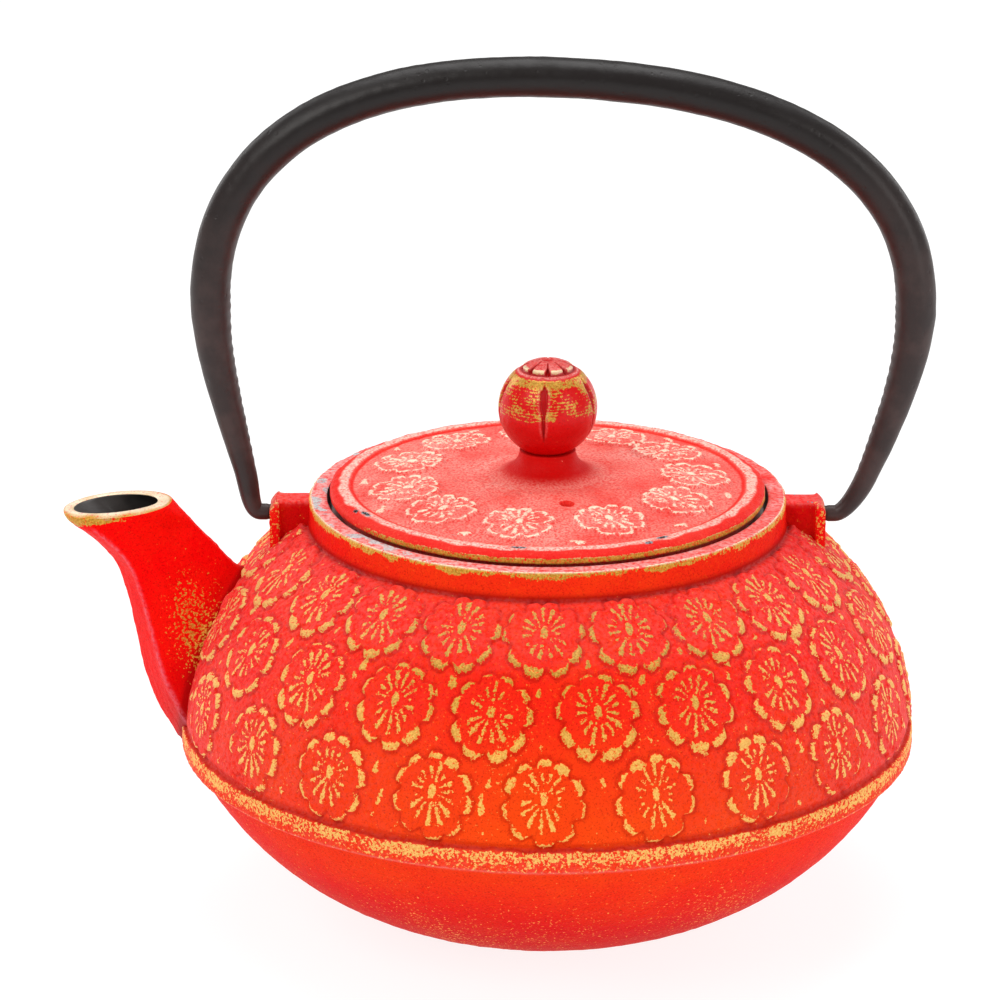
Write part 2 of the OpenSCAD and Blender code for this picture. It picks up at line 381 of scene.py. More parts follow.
def srgb(r, g, b):
    """Linear colour from 0 to 255 values."""
    c = np.array([r, g, b]) / 255
    c = np.where(c <= 0.04045, c / 12.92, ((c + 0.055) / 1.055) ** 2.4)
    return tuple(float(x) for x in c)


GOLD_LOW = (srgb(255, 206, 112), srgb(238, 166, 70))
GOLD_HIGH = (srgb(226, 174, 74), srgb(176, 120, 36))
# painted highlight: a pale, lit copy of the gold for the top of the lid
GOLD_PAINTED_LIT = (srgb(255, 224, 200), srgb(252, 190, 156))
CREAM = srgb(255, 240, 214)
BARE_IRON = srgb(30, 24, 24)
GREY_IRON = srgb(150, 150, 156)
PALE_IRON = srgb(214, 208, 208)


def enamel(name, red, warm, dark_grain_and_painted_shade, pale, gloss, grain, chips, golds, change, speckle, sheen):
    """Red enamel on sand-cast iron, with gold rubbed on by the mesh's marks.

    golds are the colours of the gold below and above the heights in change, in mm. The third number
    in change is how far the lower gold comes back at the sides."""
    red, warm, dark_grain_and_painted_shade, pale = (srgb(*colour) for colour in (red, warm, dark_grain_and_painted_shade, pale))
    f = Finish(name)
    fine = f.noise(0.40, 3.0, 0.65)
    speck = f.noise(0.62, 2.0, 0.6)
    speck_off = f.math("SUBTRACT", speck, 0.5)
    cloud = f.noise(12.0, 2.0, 0.55)
    # the warm orange is the enamel's random warm tone, and where the warm mark is set it is also a painted warm
    # glow of light
    colour = f.mix(f.plus(f.times(f.span(cloud, 0.40, 0.68), 0.16), f.mark("warm")), red, warm)
    colour = f.mix(f.times(f.span(fine, 0.5, 0.72), 0.5), colour, dark_grain_and_painted_shade)
    colour = f.mix(f.times(f.span(speck, 0.52, 0.7), 0.35), colour, warm)
    # painted shade: the shade mark darkens creases, recesses and shaded sides toward the dark red, which above
    # also darkens the fine grain
    colour = f.mix(f.times(f.mark("deep"), 0.85), colour, dark_grain_and_painted_shade)
    # the pale colour comes in where the wear mark is set, which holds wear and also painted sheen, highlight
    # lines and reflections
    worn = f.mark("worn")
    grit = f.noise(speckle, 2.0, 0.55)
    colour = f.mix(f.times(worn, f.span(grit, 0.36, 0.62, 0.15, 1.15, soft=False)), colour, pale)
    # gold: a mask from the mesh whose edge is broken up by grain, and loose flecks where it is dusty
    gold = f.span(f.plus(f.mark("gold"), f.times(speck_off, 1.9)), 0.47, 0.56)
    flecks = f.plus(f.times(f.mark("dust"), 0.42), f.times(speck, 0.85))
    gold = f.math("MAXIMUM", gold, f.times(f.span(flecks, 0.655, 0.72), 0.8))
    pit = f.span(f.noise(0.5, 1.0), 0.60, 0.67)
    gold = f.times(gold, f.math("SUBTRACT", 1.0, f.times(pit, 0.8)))
    above = f.span(f.along("Z"), change[0] * MM, change[1] * MM)
    aside = f.span(f.math("ABSOLUTE", f.along("X")), 22.0 * MM, 52.0 * MM)
    above = f.times(above, f.math("SUBTRACT", 1.0, f.times(aside, change[2])))
    tone = f.span(fine, 0.3, 0.7)
    metal = f.mix(above, f.mix(tone, *golds[0]), f.mix(tone, *golds[1]))
    # gold turns cream where that mark is set: rubbed gold, and painted highlights on the gold
    colour = f.mix(gold, colour, f.mix(f.times(worn, 0.9), metal, CREAM))
    # chips down to the iron: black, or grey where the mark for wear and painted sheen is high
    chip = f.times(f.times(worn, f.span(f.noise(2.4, 3.0, 0.7), 0.63, 0.66)), chips)
    chip = f.math("MAXIMUM", chip, f.span(f.plus(f.mark("bare"), speck_off), 0.45, 0.55))
    iron = f.mix(f.span(speck, 0.47, 0.6), BARE_IRON, GREY_IRON)
    iron = f.mix(f.span(worn, 0.3, 0.6), iron, f.mix(f.span(speck, 0.35, 0.6), GREY_IRON, PALE_IRON))
    relief = f.bump(f.noise(1.6, 2.0), 0.16, grain, f.bump(fine, 0.14, grain))
    return f.use(Base_Color=f.mix(chip, colour, iron), Roughness=f.plus(f.times(fine, 0.22), gloss),
                 Normal=relief, Metallic=f.times(gold, 0.2),
                 Specular_IOR_Level=f.span(worn, 0.0, 1.0, sheen, 0.3, soft=False))


# in each enamel the dark red is also the colour of painted shade, and the pale one the colour of painted sheen
# and reflections as well as of wear; the spout's pink pale is a painted reflection on its underside
red_enamel = enamel(
    "red_enamel", (243, 18, 20), (255, 78, 16), (150, 2, 4), (246, 176, 172),
    0.40, 0.8, 0.55, (GOLD_LOW, GOLD_HIGH), (50, 76, 0.6), 0.9, 0.02)
spout_enamel = enamel(
    "spout_enamel", (250, 6, 6), (255, 40, 14), (150, 0, 2), (236, 130, 150),
    0.36, 0.5, 0.0, (GOLD_HIGH, GOLD_HIGH), (50, 76, 0), 0.9, 0.02)
# on the lid the gold is painted as the olive gold in shade at the edge and as its pale, lit copy higher up
lid_enamel = enamel(
    "lid_enamel", (240, 42, 36), (250, 98, 76), (206, 0, 2), (255, 206, 190),
    0.36, 0.7, 0.4, (GOLD_HIGH, GOLD_PAINTED_LIT), (91.3, 92.0, 0), 0.5, 0.06)
knob_enamel = enamel(
    "knob_enamel", (216, 4, 8), (232, 36, 30), (150, 0, 2), (255, 200, 190),
    0.20, 0.22, 0.0, (GOLD_HIGH, GOLD_HIGH), (50, 76, 0), 0.5, 0.22)


def plain_enamel(name, colour, other, grain):
    f = Finish(name)
    fine = f.noise(0.6, 3.0, 0.6)
    return f.use(Base_Color=f.mix(f.span(f.noise(9.0, 3.0), 0.35, 0.65), srgb(*colour), srgb(*other)),
                 Roughness=f.plus(f.times(fine, 0.2), 0.3), Normal=f.bump(fine, 0.06, grain))


inside_enamel = plain_enamel("inside_enamel", (34, 32, 34), (52, 48, 48), 0.5)
spout_inside = plain_enamel("spout_inside", (24, 20, 20), (48, 42, 40), 0.6)


def forged():
    f = Finish("forged_bar")
    fine = f.noise(0.5, 3.0, 0.6)
    large = f.noise(7.0, 3.0, 0.55)
    colour = f.mix(f.span(large, 0.35, 0.7), srgb(46, 33, 32), srgb(66, 49, 47))
    # painted shade: the bar darkens toward the top of the bow, where the top light falls strongest
    colour = f.mix(f.span(f.along("Z"), 120 * MM, 175 * MM), colour, srgb(18, 11, 10))
    # painted reflection: a brown-red tint on the inner side of the bar, where it faces the red pot
    colour = f.mix(f.times(f.mark("worn"), f.span(fine, 0.25, 0.7)), colour, srgb(60, 22, 18))
    relief = f.bump(fine, 0.05, 0.5, f.bump(f.span(f.cells(2.4), 0.10, 0.2), 0.08, 0.5))
    return f.use(Base_Color=colour, Roughness=f.plus(f.times(large, 0.22), 0.3),
                 Normal=f.bump(large, 0.5, 0.25, relief), Specular_IOR_Level=0.35)


forged_bar = forged()


def steel(name, colour, rough, lines):
    f = Finish(name)
    fine = f.noise(0.6, 2.0, 0.5, stretch=lines)
    mixed = f.mix(fine, colour, tuple(0.75 * c for c in colour))
    return f.use(Base_Color=mixed, Roughness=f.plus(f.times(fine, 0.2), rough),
                 Normal=f.bump(fine, 0.02, 0.35), Metallic=1.0)


infuser_steel = steel("infuser_steel", (0.62, 0.61, 0.59), 0.22, (1, 1, 8))
fixing_steel = steel("fixing_steel", (0.16, 0.15, 0.15), 0.4, (1, 1, 1))


# ---- The blossom relief ----

# degrees to a petal and between its stamens, and the random shares that a blossom takes
PETAL = 72
STAMEN_GAP = 23
RANDOM_SHARES = 25


def edged(distance):
    """A mark from a distance in mm, 0.5 at an edge and rising to 1 inside it."""
    return clip01(0.5 + distance / 0.9)


def stamp(near, *pairs):
    """Raises each field to its values where near is true."""
    for field, value in pairs:
        field[near] = np.maximum(field[near], value)


def blossom(u, v, turn, size, band, broken, dice):
    """Height, gold, cover and shade of a five-petalled blossom at (u, v) mm from its boss.

    turn is the azimuth of its first petal. band is how wide the gold on its edge is in mm, and how
    much wider on its lower side. broken, from 0 to 1, is how far that gold breaks up between the
    lobes. dice holds one row of random shares for each point: ten lobes, then fifteen stamens."""
    def pick(number):
        return np.take_along_axis(dice, number[..., None], -1)[..., 0]

    rho = np.hypot(u, v) + 1e-9
    angle = np.degrees(np.arctan2(v, u)) - turn + PETAL / 2
    petal = np.floor(angle / PETAL).astype(int) % 5
    alpha = angle % PETAL - PETAL / 2
    side = np.abs(alpha)
    below = -v / rho
    notches = (1 - 0.11 * hump(alpha, 5.5)) * (1 - 0.21 * smooth(side, 23, PETAL / 2))
    d = size * (1 + 0.13 * below) * notches - rho
    plate = smooth(d, -0.15, 0.5)
    rim = smooth(side, 2, 7) * hump(d - 0.85, 0.5)
    # three stamens to a petal, thin at the boss and thicker outward, long above and below it
    stamen = np.clip(np.round(alpha / STAMEN_GAP), -1, 1)
    across = np.abs(rho * np.sin(np.radians(alpha - stamen * STAMEN_GAP)))
    reach = pick(10 + petal * 3 + (stamen + 1).astype(int))
    k = size / 9.2
    start = (1.9 + 1.5 * reach**2) * k
    stop = (4.7 + 1.5 * below**2 + 1.0 * smooth(below, 0, 1) - 1.1 * (reach > 0.6)) * k
    thin = 1 - 0.3 * broken * (reach < 0.3)
    width = (0.13 + 0.36 * clip01((rho - start) / 3.2) ** 1.3) * k * thin
    along = window(rho, start - 0.3, start + 0.8, stop, stop + 0.5)
    bar = hump(across, width * 1.5 + 0.08) * along
    oval = np.hypot(u / (0.85 * k), v / (1.45 * k))
    boss = np.exp(-oval**3)
    height = 0.34 * plate + 0.28 * rim + 0.26 * bar + 0.42 * boss - 0.20 * hump(d + 0.45, 0.4)
    # gold along the edge, on the stamens and on the boss
    lobe = 1 - broken * (1 - hump(side - 16.5, 12)) * 0.75
    luck = pick(petal * 2 + (alpha > 0))
    wide = (band[0] + band[1] * below + 1.1 * broken * (luck - 0.6)) * lobe
    apart = smooth(side, 0.5, 4) * (1 - broken * smooth(side, 29, 34))
    inner = 0.15 + 0.55 * (1 - broken) + wide / 2
    gold = edged(wide / 2 - np.abs(d - inner)) * smooth(wide, 0.1, 0.35) * apart
    in_stamen = np.minimum(np.minimum(width + 0.02 - across, rho - start), stop - rho)
    gold = np.maximum.reduce([gold, edged(in_stamen), edged((1 - oval) * 1.2)])
    shade = 0.8 * hump(d + 0.3, 0.45) + 0.35 * hump(across - width - 0.35, 0.25) * along
    return height, gold, smooth(d, -0.1, 0.3), shade


def streak(u, v, tilt, length, w_low, w_high):
    """Height and gold of a tadpole-shaped fragment, wide at its low end."""
    c, s = np.cos(tilt), np.sin(tilt)
    p, q = u * c + v * s, -u * s + v * c
    t = clip01((q + length / 2) / length)
    d = w_low + (w_high - w_low) * t - np.hypot(p, q - (t - 0.5) * length)
    return smooth(d, -0.2, 0.35), edged(d)


# ---- Pot ----

# columns of points where there is relief, and where there is none
FINE = 1280
COARSE = 320
# azimuth of the blossoms that face the camera, blossoms to a row, and how far they crowd forward
FRONT = -90.5
PER_ROW = 20
CROWD = 2.7
# arc length between rows of points
ROW_STEP = 0.335
PORT_Z = 56
PORT_R = 7.0

ROWS = (
    # arc length from the belt to the boss, degrees from the front, size, width share, band of gold
    (44.8, 0, 9.05, 0.92, (0.95, 1.2)),
    (27.6, 9, 9.2, 0.92, (1.5, 0.5)),
    (10.7, 0, 9.1, 0.92, (1.3, -0.5)),
)
# between the blossoms, tadpoles in the low row and flecks above it
FRAGMENTS = (
    # degrees from the front, arc length, length, half width at its low and its high end
    (9, 8.6, 3.6, 0.75, 0.3), (9, 13.6, 1.8, 0.5, 0.25), (8, 3.4, 0.8, 0.35, 0.2),
    (0, 33.6, 1.3, 0.75, 0.45), (-1, 31.2, 1.0, 0.35, 0.3), (0, 24.6, 2.6, 0.28, 0.18),
    (9, 38.6, 1.0, 0.45, 0.3), (9.6, 18.4, 0.8, 0.35, 0.25), (-0.5, 21.0, 0.8, 0.3, 0.2),
)

# the shoulder is part of an ellipse that stands on the belt and is cut off by the collar
SHOULDER_RISE = (COLLAR_Z - BELT_TOP) / math.sqrt(1 - (COLLAR_R / BODY_R) ** 2)


def shoulder_at(t):
    """Rows of (r, z) on the shoulder at angles t of its ellipse."""
    return np.stack([BODY_R * np.cos(t), BELT_TOP + SHOULDER_RISE * np.sin(t)], 1)


SHOULDER_T = np.linspace(0, math.acos(COLLAR_R / BODY_R), 4001)
SHOULDER_S = run_length(shoulder_at(SHOULDER_T))
SHOULDER_LEN = SHOULDER_S[-1]

# the lower bowl is an arc from the base to the belt
bowl_chord = np.array([BELT_R - BELT_INSET - BASE_R, BELT_Z])
bowl_sag = math.sqrt((BOWL_ARC / np.linalg.norm(bowl_chord)) ** 2 - 0.25)
BOWL_CENTRE = np.array([BASE_R, 0]) + bowl_chord / 2 + bowl_sag * bowl_chord[::-1] * [-1, 1]
# the same centre to 0.1 mm
BOWL_NEAR = (16.4, 64.9)


def bowl_angle(z, radius):
    return math.degrees(math.asin((z - BOWL_CENTRE[1]) / radius))


def facing(azimuth):
    """1 at the front, falling to 0 at the sides."""
    return clip01(np.cos(np.radians(azimuth - FRONT))) ** 2


def crowding(theta):
    """How much nearer the front blossoms stand than even steps would put them, in degrees."""
    return CROWD * np.sin(np.radians(theta))


def shoulder_relief(azimuth, s, r):
    """Height and marks over the shoulder, as arrays."""
    dice = np.random.default_rng(7)
    height, gold, cover, shade = (np.zeros_like(s) for _ in range(4))
    pitch = 360 / PER_ROW
    theta = azimuth - FRONT
    even = theta + crowding(theta + crowding(theta))

    def nearest(first):
        """Which figure of a row is nearest to each point, and how far to its side the point is."""
        number = np.round((even - first) / pitch).astype(int)
        at = first + number * pitch
        return number % PER_ROW, np.radians(theta - (at - crowding(at))) * r

    for s0, first, size, squeeze, band in ROWS:
        n, u = nearest(first)
        luck = dice.uniform(0, 1, (PER_ROW, RANDOM_SHARES))
        turn = 90 + dice.normal(0, 5, PER_ROW) - 20 * (dice.uniform(size=PER_ROW) < 0.3)
        lean = dice.normal(0, 0.18, (PER_ROW, 2))
        u = u / squeeze - lean[n, 0]
        v = s - s0 - lean[n, 1]
        near = np.hypot(u, v) < size + 3
        h, g, c, d = blossom(u[near], v[near], turn[n][near], size, band, 1.0, luck[n[near]])
        height[near] = np.where(c > 0.02, np.maximum(height[near], h), height[near] + h)
        stamp(near, (gold, g), (cover, c), (shade, d))
    for first, s0, length, w_low, w_high in FRAGMENTS:
        n, u = nearest(first)
        tilt = dice.normal(0, 0.3, PER_ROW)
        size = dice.uniform(0.6, 1.2, PER_ROW)
        move = dice.normal(0, 0.5, (PER_ROW, 2))
        shown = dice.uniform(size=PER_ROW) < 0.8
        u = u - move[n, 0]
        v = s - s0 - move[n, 1]
        near = (np.hypot(u, v) < length + 2) & shown[n]
        k = size[n][near]
        h, g = streak(u[near], v[near], tilt[n][near], length * k, w_low * k, w_high * k)
        height[near] += 0.25 * h * (1 - cover[near])
        stamp(near, (gold, g * (1 - cover[near])))
    return height, gold, cover, shade


def pot():
    skin = Skin()
    fine, coarse = columns(FINE, FRONT), columns(COARSE, FRONT)
    front = facing(fine)

    # base and lower bowl, in coarse columns
    bowl = arc_points(*BOWL_CENTRE, BOWL_ARC, bowl_angle(0, BOWL_ARC), bowl_angle(BELT_Z, BOWL_ARC), 44)
    foot = [[r, 0.0] for r in (6, 12, 18, 24, 28, 30.2)]
    lower = np.concatenate([foot, bowl[1:-1]])
    rows = revolve(lower, coarse)
    grain = wobbles(rows, (0.03, 7.0, 3), (0.04, 2.4, 4))
    grain[:len(foot)] = 0
    out = rows - [0, 0, BOWL_CENTRE[1]]
    out[..., :2] *= (1 - BOWL_CENTRE[0] / np.maximum(lower[:, 0], 17)[:, None, None])
    rows = rows + unit(out) * grain[..., None]
    up = clip01(lower[:, 1] / BELT_Z)[:, None] + 0 * coarse
    # painted shade, darker toward the base, and a painted warm glow on the front of the upper bowl
    ids_low = skin.rings(rows, dust=0.37 - 0.2 * up + 0.05 * wobble(rows, 30, 5),
                         warm=0.5 * smooth(up, 0.45, 1) * facing(coarse),
                         deep=0.6 * (1 - smooth(up, 0, 0.9)))
    skin.cap(ids_low[0], (0, 0, 0), first=True)

    # belt, in fine columns, with a ragged upper edge
    belt = offsets(BELT_R, BELT_Z, (-1.1, 0), (-0.35, 0.03), (-0.08, 0.22))
    belt += [[BELT_R, z] for z in np.linspace(BELT_Z + 0.6, BELT_TOP - 1.1, 9)]
    belt += offsets(BELT_R, BELT_TOP, (-0.06, -0.7), (-0.22, -0.45), (-0.5, -0.3), (-0.85, -0.25))
    belt = np.array(belt)
    at = np.arange(len(belt))[:, None]
    middle = 8  # a row on the belt's face
    rows = revolve(belt, fine)
    ragged = wobbles(rows[middle:middle + 1] * [1, 1, 0], (0.55, 9.0, 11), (0.45, 2.6, 12))
    upper = clip01((at - middle) / 5)
    lift_r = -0.10 * np.abs(ragged) * upper + 0.05 * wobble(rows, 1.6, 13)
    rows = revolve(belt, fine, lift_r, 0.42 * ragged * upper)
    up = clip01((belt[:, 1] - BELT_Z) / (BELT_TOP - BELT_Z))[:, None]
    low_line = hump(up - 0.02, 0.05)
    gold = 0.12 + (0.48 - 0.06 * front) * smooth(up, 0.12, 0.55) + 0.08 * wobble(rows, 7, 14)
    above = smooth(at + 0.5 * ragged, len(belt) - 3.6, len(belt) - 2.4)
    # painted shade in the crease above the belt and a painted highlight along its lower edge; the belt's even
    # warm tone is its own
    ids_belt = skin.rings(rows, gold=np.maximum(gold, 0.36 * low_line) * (1 - above), deep=0.6 * above,
                          warm=0.4, worn=0.05 + 0.22 * low_line, dust=0.42 * (1 - above))
    skin.stitch(ids_belt[0], ids_low[-1], flip=True)

    # shoulder
    s_rows = np.arange(0.35, SHOULDER_LEN - 0.35, ROW_STEP)
    t = np.interp(s_rows, SHOULDER_S, SHOULDER_T)
    profile = shoulder_at(t)
    normal = unit(np.stack([np.cos(t) / BODY_R, np.sin(t) / SHOULDER_RISE], 1))
    s = s_rows[:, None] + 0 * fine
    azimuth = fine + 0 * s
    height, gold, cover, shade = shoulder_relief(azimuth, s, profile[:, 0, None] + 0 * s)
    flat = revolve(profile, fine)
    crease = hump(s - (SHOULDER_LEN - 0.4), 1.0)
    groove = hump(s - 0.4, 0.6)
    height += wobbles(flat, (0.05, 1.7, 21), (0.05, 5.0, 22))
    height -= 0.55 * crease * (1 - 0.75 * cover) + 0.45 * groove
    rows = revolve(profile, fine, height * normal[:, :1], height * normal[:, 1:])
    near_spout = hump(np.hypot((np.abs(azimuth + 180) % 360) * 1.1, (s - 20) * 0.6), 12)
    # painted shade beside the blossoms, in the crease under the collar and in the groove over the belt; a
    # painted warm glow on the front, strongest low down; pale painted reflections, stronger toward the sides
    ids_top = skin.rings(rows, gold=gold, dust=0.16 + 0.10 * wobble(flat, 26, 23) + 0.3 * near_spout,
                         deep=0.55 * shade + 0.85 * crease * (1 - cover) + 0.36 * groove,
                         warm=0.75 * front * (0.25 + 0.75 * (1 - smooth(s, 4, 30))),
                         worn=0.13 + front * (0.07 * smooth(s, 33, 42) - 0.13))
    skin.band(ids_belt[-1], ids_top[0])

    # collar, rounded edge, top of the rim and the recess
    side = offsets(COLLAR_R, COLLAR_Z, (0.35, 0), (0.08, 0.35))
    side += [[COLLAR_R, z] for z in np.linspace(COLLAR_Z + 0.9, RIM_Z - 1.0, 8)]
    edge = arc_points(COLLAR_R - 0.9, RIM_Z - 0.9, 0.9, 15, 90, 5).tolist()
    top = [[r, RIM_Z] for r in np.linspace(COLLAR_R - 1.4, RECESS_R + 0.5, 5)]
    recess = offsets(RECESS_R, RIM_Z, (0.15, -0.1), (0, -0.4), (0, -1.4)) + [[RECESS_R, LEDGE_Z]]
    collar = side + edge + top + recess
    rows = revolve(collar, fine)
    dent = wobbles(rows, (0.05, 2.0, 31), (0.06, 9.0, 32))
    dent[:2] = dent[-4:] = 0
    rows = revolve(collar, fine, dent, 0.5 * dent)
    at = np.arange(len(collar))[:, None]
    top_at = len(side) + len(edge)
    on_top = smooth(at, top_at - 2.8, top_at - 1.8)
    rim_top = on_top * (at < top_at + len(top) + 1)
    ragged = wobble(rows * [1, 1, 0], 5.0, 33)
    line = smooth(at + 0.8 * ragged, len(side) - 2.6, len(side) - 0.6) * (1 - on_top)
    left = smooth(spoutward(fine), -0.3, 0.9)
    # painted highlight: a pale line where the gold edge rounds over; the pale rim top is painted sheen as well
    # as wear, paler at the front and on the spout side; painted shade at the foot of the collar and a painted
    # warm glow on the front of its side
    pale = clip01(0.50 + 0.3 * left + 0.25 * front + 0.15 * wobble(rows, 7, 35))
    gold = (0.74 + 0.12 * ragged) * line * (0.80 + 0.2 * smooth(spoutward(fine), -0.9, 0.3))
    marks = {"gold": gold, "worn": 0.9 * line * smooth(at, top_at - 4.4, top_at - 3.2) + rim_top * pale,
             "bare": 0.62 * rim_top * left * smooth(wobble(rows, 7, 36), 0.0, 0.6),
             "deep": 0.85 * hump(at, 1.2), "warm": 0.35 * front * (1 - rim_top)}
    wall_at = len(collar) - 3
    ids_collar = skin.rings(rows[:wall_at], dust=0.08, **{m: v[:wall_at] for m, v in marks.items()})
    skin.band(ids_top[-1], ids_collar[0])
    skin.slot = 1
    ids_recess = skin.rings(rows[wall_at:])
    skin.band(ids_collar[-1], ids_recess[0])

    # ledge, mouth and interior, in coarse columns
    ids_ledge = skin.rings(revolve([[RECESS_R - 0.5, LEDGE_Z]], coarse))
    skin.stitch(ids_recess[-1], ids_ledge[0])
    roof_r, roof_rise = BODY_R - WALL, SHOULDER_RISE - WALL
    t = np.linspace(math.acos(MOUTH_R / roof_r), 0.03, 26)
    roof = np.stack([roof_r * np.cos(t), BELT_TOP + roof_rise * np.sin(t)], 1)
    cup_r = BOWL_ARC - WALL
    cup = arc_points(*BOWL_CENTRE, cup_r, bowl_angle(BELT_TOP - WALL / 2, cup_r),
                     bowl_angle(FLOOR_T + 1.5, cup_r), 22)
    floor = offsets(cup[-1, 0], FLOOR_T, (-1.2, 0.5), (-3.5, 0)) + [[18.0, FLOOR_T], [8.0, FLOOR_T]]
    mouth = offsets(MOUTH_R, LEDGE_Z, (0.5, 0), (0, -0.5))
    ids_in = skin.rings(revolve(np.concatenate([mouth, roof, cup, floor]), coarse))
    skin.band(ids_ledge[-1], ids_in[0])
    skin.cap(ids_in[-1], (0, 0, FLOOR_T))
    piece = skin.object("pot_casting", [red_enamel, inside_enamel])
    port = rod((-BODY_R - 2, 0, PORT_Z), (-BODY_R + 38, 0, PORT_Z), PORT_R, 64, inside_enamel)
    return cut(piece, port)


place(pot(), "pot", "red_enamel", "pot_body", "pot_rim")


# ---- Spout ----

SPOUT_TOP = np.array([[-56, 62.4], [-79.3, 88.35]])
SPOUT_KEEL = [[-68, 28.5], [-96.4, 40.1], [-79.4, 75.7], [-102.3, 86.35]]
# half widths at shares of the length, and the half section from the top (-1) to the keel (1)
SPOUT_HALF_W = np.array([[0, 12.4], [0.35, 11.8], [0.6, 8.6], [0.8, 7.9], [1, 8.9]])
FACETS = np.array([[-1, 0.1], [-0.5, 0.68], [0.1, 0.97], [0.62, 0.92], [1, 0.1]])
FACETS_END = 0.8
RIDGE_U = FACETS[3, 0]
# how far the keel stands out under the lip, in mm, at shares of the length
SPOUT_CHIN = np.array([[0.76, 0], [0.80, 0.5], [0.85, 1.3], [0.93, 2.1], [0.96, 1.9], [0.985, 1.0], [1, 0]])
SPOUT_SIDES = 144
SPOUT_A = np.radians(columns(SPOUT_SIDES, 180 / SPOUT_SIDES))
SPOUT_U = -np.cos(SPOUT_A)


def spout_points(shares, inset=0.0):
    """Points round the spout at shares of its length, less an inset that may differ by point."""
    top = SPOUT_TOP[0] + (SPOUT_TOP[1] - SPOUT_TOP[0]) * shares[..., None]
    keel = bezier(SPOUT_KEEL, shares)
    reach = (keel - top) / 2
    half_u = np.linalg.norm(reach, axis=-1) - inset
    half_v = np.interp(shares, *SPOUT_HALF_W.T) - inset
    v = np.interp(SPOUT_U, *FACETS.T)
    v = v + (np.sqrt(1 - SPOUT_U**2) - v) * smooth(shares, FACETS_END, 1)
    c = (top + keel) / 2 + unit(reach) * (half_u * SPOUT_U)[..., None]
    return np.stack([c[..., 0], half_v * v * np.sign(np.sin(SPOUT_A)), c[..., 1]], -1)


def pot_depth(p):
    """How far points are inside the pot's shoulder, roughly, in mm. Negative is outside."""
    z = p[..., 2]
    up = clip01((z - BELT_TOP) / SHOULDER_RISE)
    edge = np.where(z > BELT_TOP, BODY_R * np.sqrt(1 - up**2), BODY_R)
    bowl = BOWL_NEAR[0] + np.sqrt(np.maximum(BOWL_ARC**2 - (z - BOWL_NEAR[1]) ** 2, 0))
    edge = np.where(z < BELT_Z, bowl, edge)
    return (edge - np.hypot(p[..., 0], p[..., 1])) * 0.9


def spout():
    skin = Skin()
    # each column starts where it is last 1.6 mm deep in the pot
    trial = np.linspace(0, 1, 241)
    deep = pot_depth(spout_points(trial[:, None] + 0 * SPOUT_U)) > 1.6
    first = trial[[np.nonzero(column)[0].max() if column.any() else 0 for column in deep.T]]
    shares = first + (1 - first) * (np.linspace(0, 1, 92) ** 0.92)[:, None]
    outer = spout_points(shares)
    normal = outer - spout_points(shares, 0.5)
    normal /= np.maximum(np.linalg.norm(normal, axis=-1, keepdims=True), 1e-6)
    rough = wobbles(outer, (0.06, 5.0, 41), (0.04, 1.6, 42))
    outer = outer + normal * (rough * (1 - smooth(shares, 0.9, 0.98)))[..., None]
    u = SPOUT_U + 0 * shares
    keel_side = smooth(u, 0.1, 0.95)
    outer = outer + normal * (np.interp(shares, *SPOUT_CHIN.T) * keel_side)[..., None]
    # a soft roll of metal where the spout leaves the body
    near = -pot_depth(outer)
    outer = outer + normal * (0.9 * hump(near, 1.6))[..., None]
    ridge = hump(u - RIDGE_U, 0.035) * (1 - smooth(shares, 0.9, 0.97))
    under = smooth(u, RIDGE_U, RIDGE_U + 0.08)
    lip_from = 0.958 - 0.014 * keel_side
    lip_band = smooth(shares + 0.006 * wobble(outer, 3, 43), lip_from, lip_from + 0.012)
    patch = hump(u + 0.12, 0.5) * (1 - smooth(near, 2, 23)) * smooth(outer[..., 2], 44, 58)
    # painted highlight along the ridge, a faint painted pink reflection on the underside, and painted shade
    # where the spout meets the body
    ids = skin.rings(outer, gold=0.9 * lip_band * smooth(u, -0.35, 0.2), dust=0.1 + 0.52 * patch,
                     worn=0.03 * under + 0.4 * ridge, deep=0.9 * hump(near, 1.0) + 0.5 * hump(near, 4.0))
    # lip: rounded outer edge, flat face, rounded inner edge. It is wider and rolled at the front
    front = -spout_points(np.ones(SPOUT_SIDES))[:, 1]
    front /= np.abs(front).max()
    roll = smooth(front, 0.1, 1)
    lip_in = 2.6 - 0.6 * SPOUT_U + 0.6 * front + 0.7 * roll
    last = ids[-1]
    lip = (
        # share of the length, inset in mm, how flat the face is there
        (1.0, 0.12, 0), (1.003, 0.4, 0), (1.003, 0.4 + 1.5 * roll, 0.3), (1.003, 0.7 + 2.0 * roll, 1),
        (1.003, lip_in - 0.35, 1), (0.998, lip_in, 0.7))
    for share, inset, flat in lip:
        ring = spout_points(np.full(SPOUT_SIDES, share), inset)
        ring[:, 2] -= 0.5 * roll * (1 - flat)
        worn = 0.85 * flat + 0.25 * (1 - flat) * (1 - roll) + 0.2 * wobble(ring, 4, 44)
        now = skin.add(ring, gold=0.95, worn=worn, bare=0.3 * smooth(SPOUT_U, 0.3, 0.9) * flat)
        skin.band(last, now)
        last = now
    # channel
    skin.slot = 1
    shares = first + (1 - first) * np.linspace(0.985, 0, 30)[:, None]
    ids_in = skin.rings(spout_points(shares, lip_in + 0.15 * smooth(1 - shares, 0, 0.3)))
    skin.band(last, ids_in[0])
    skin.band(ids_in[-1], ids[0])
    return skin.object("spout_casting", [spout_enamel, spout_inside])


place(spout(), "pot", "red_enamel", "spout")


# ---- Lugs ----

LUG_LOW = 72.0
LUG_WEB = 2.8
FLANGE_T = 2.1
FILLET = 0.9
LUG_ROUND = 2.2
BORE_R = 1.72


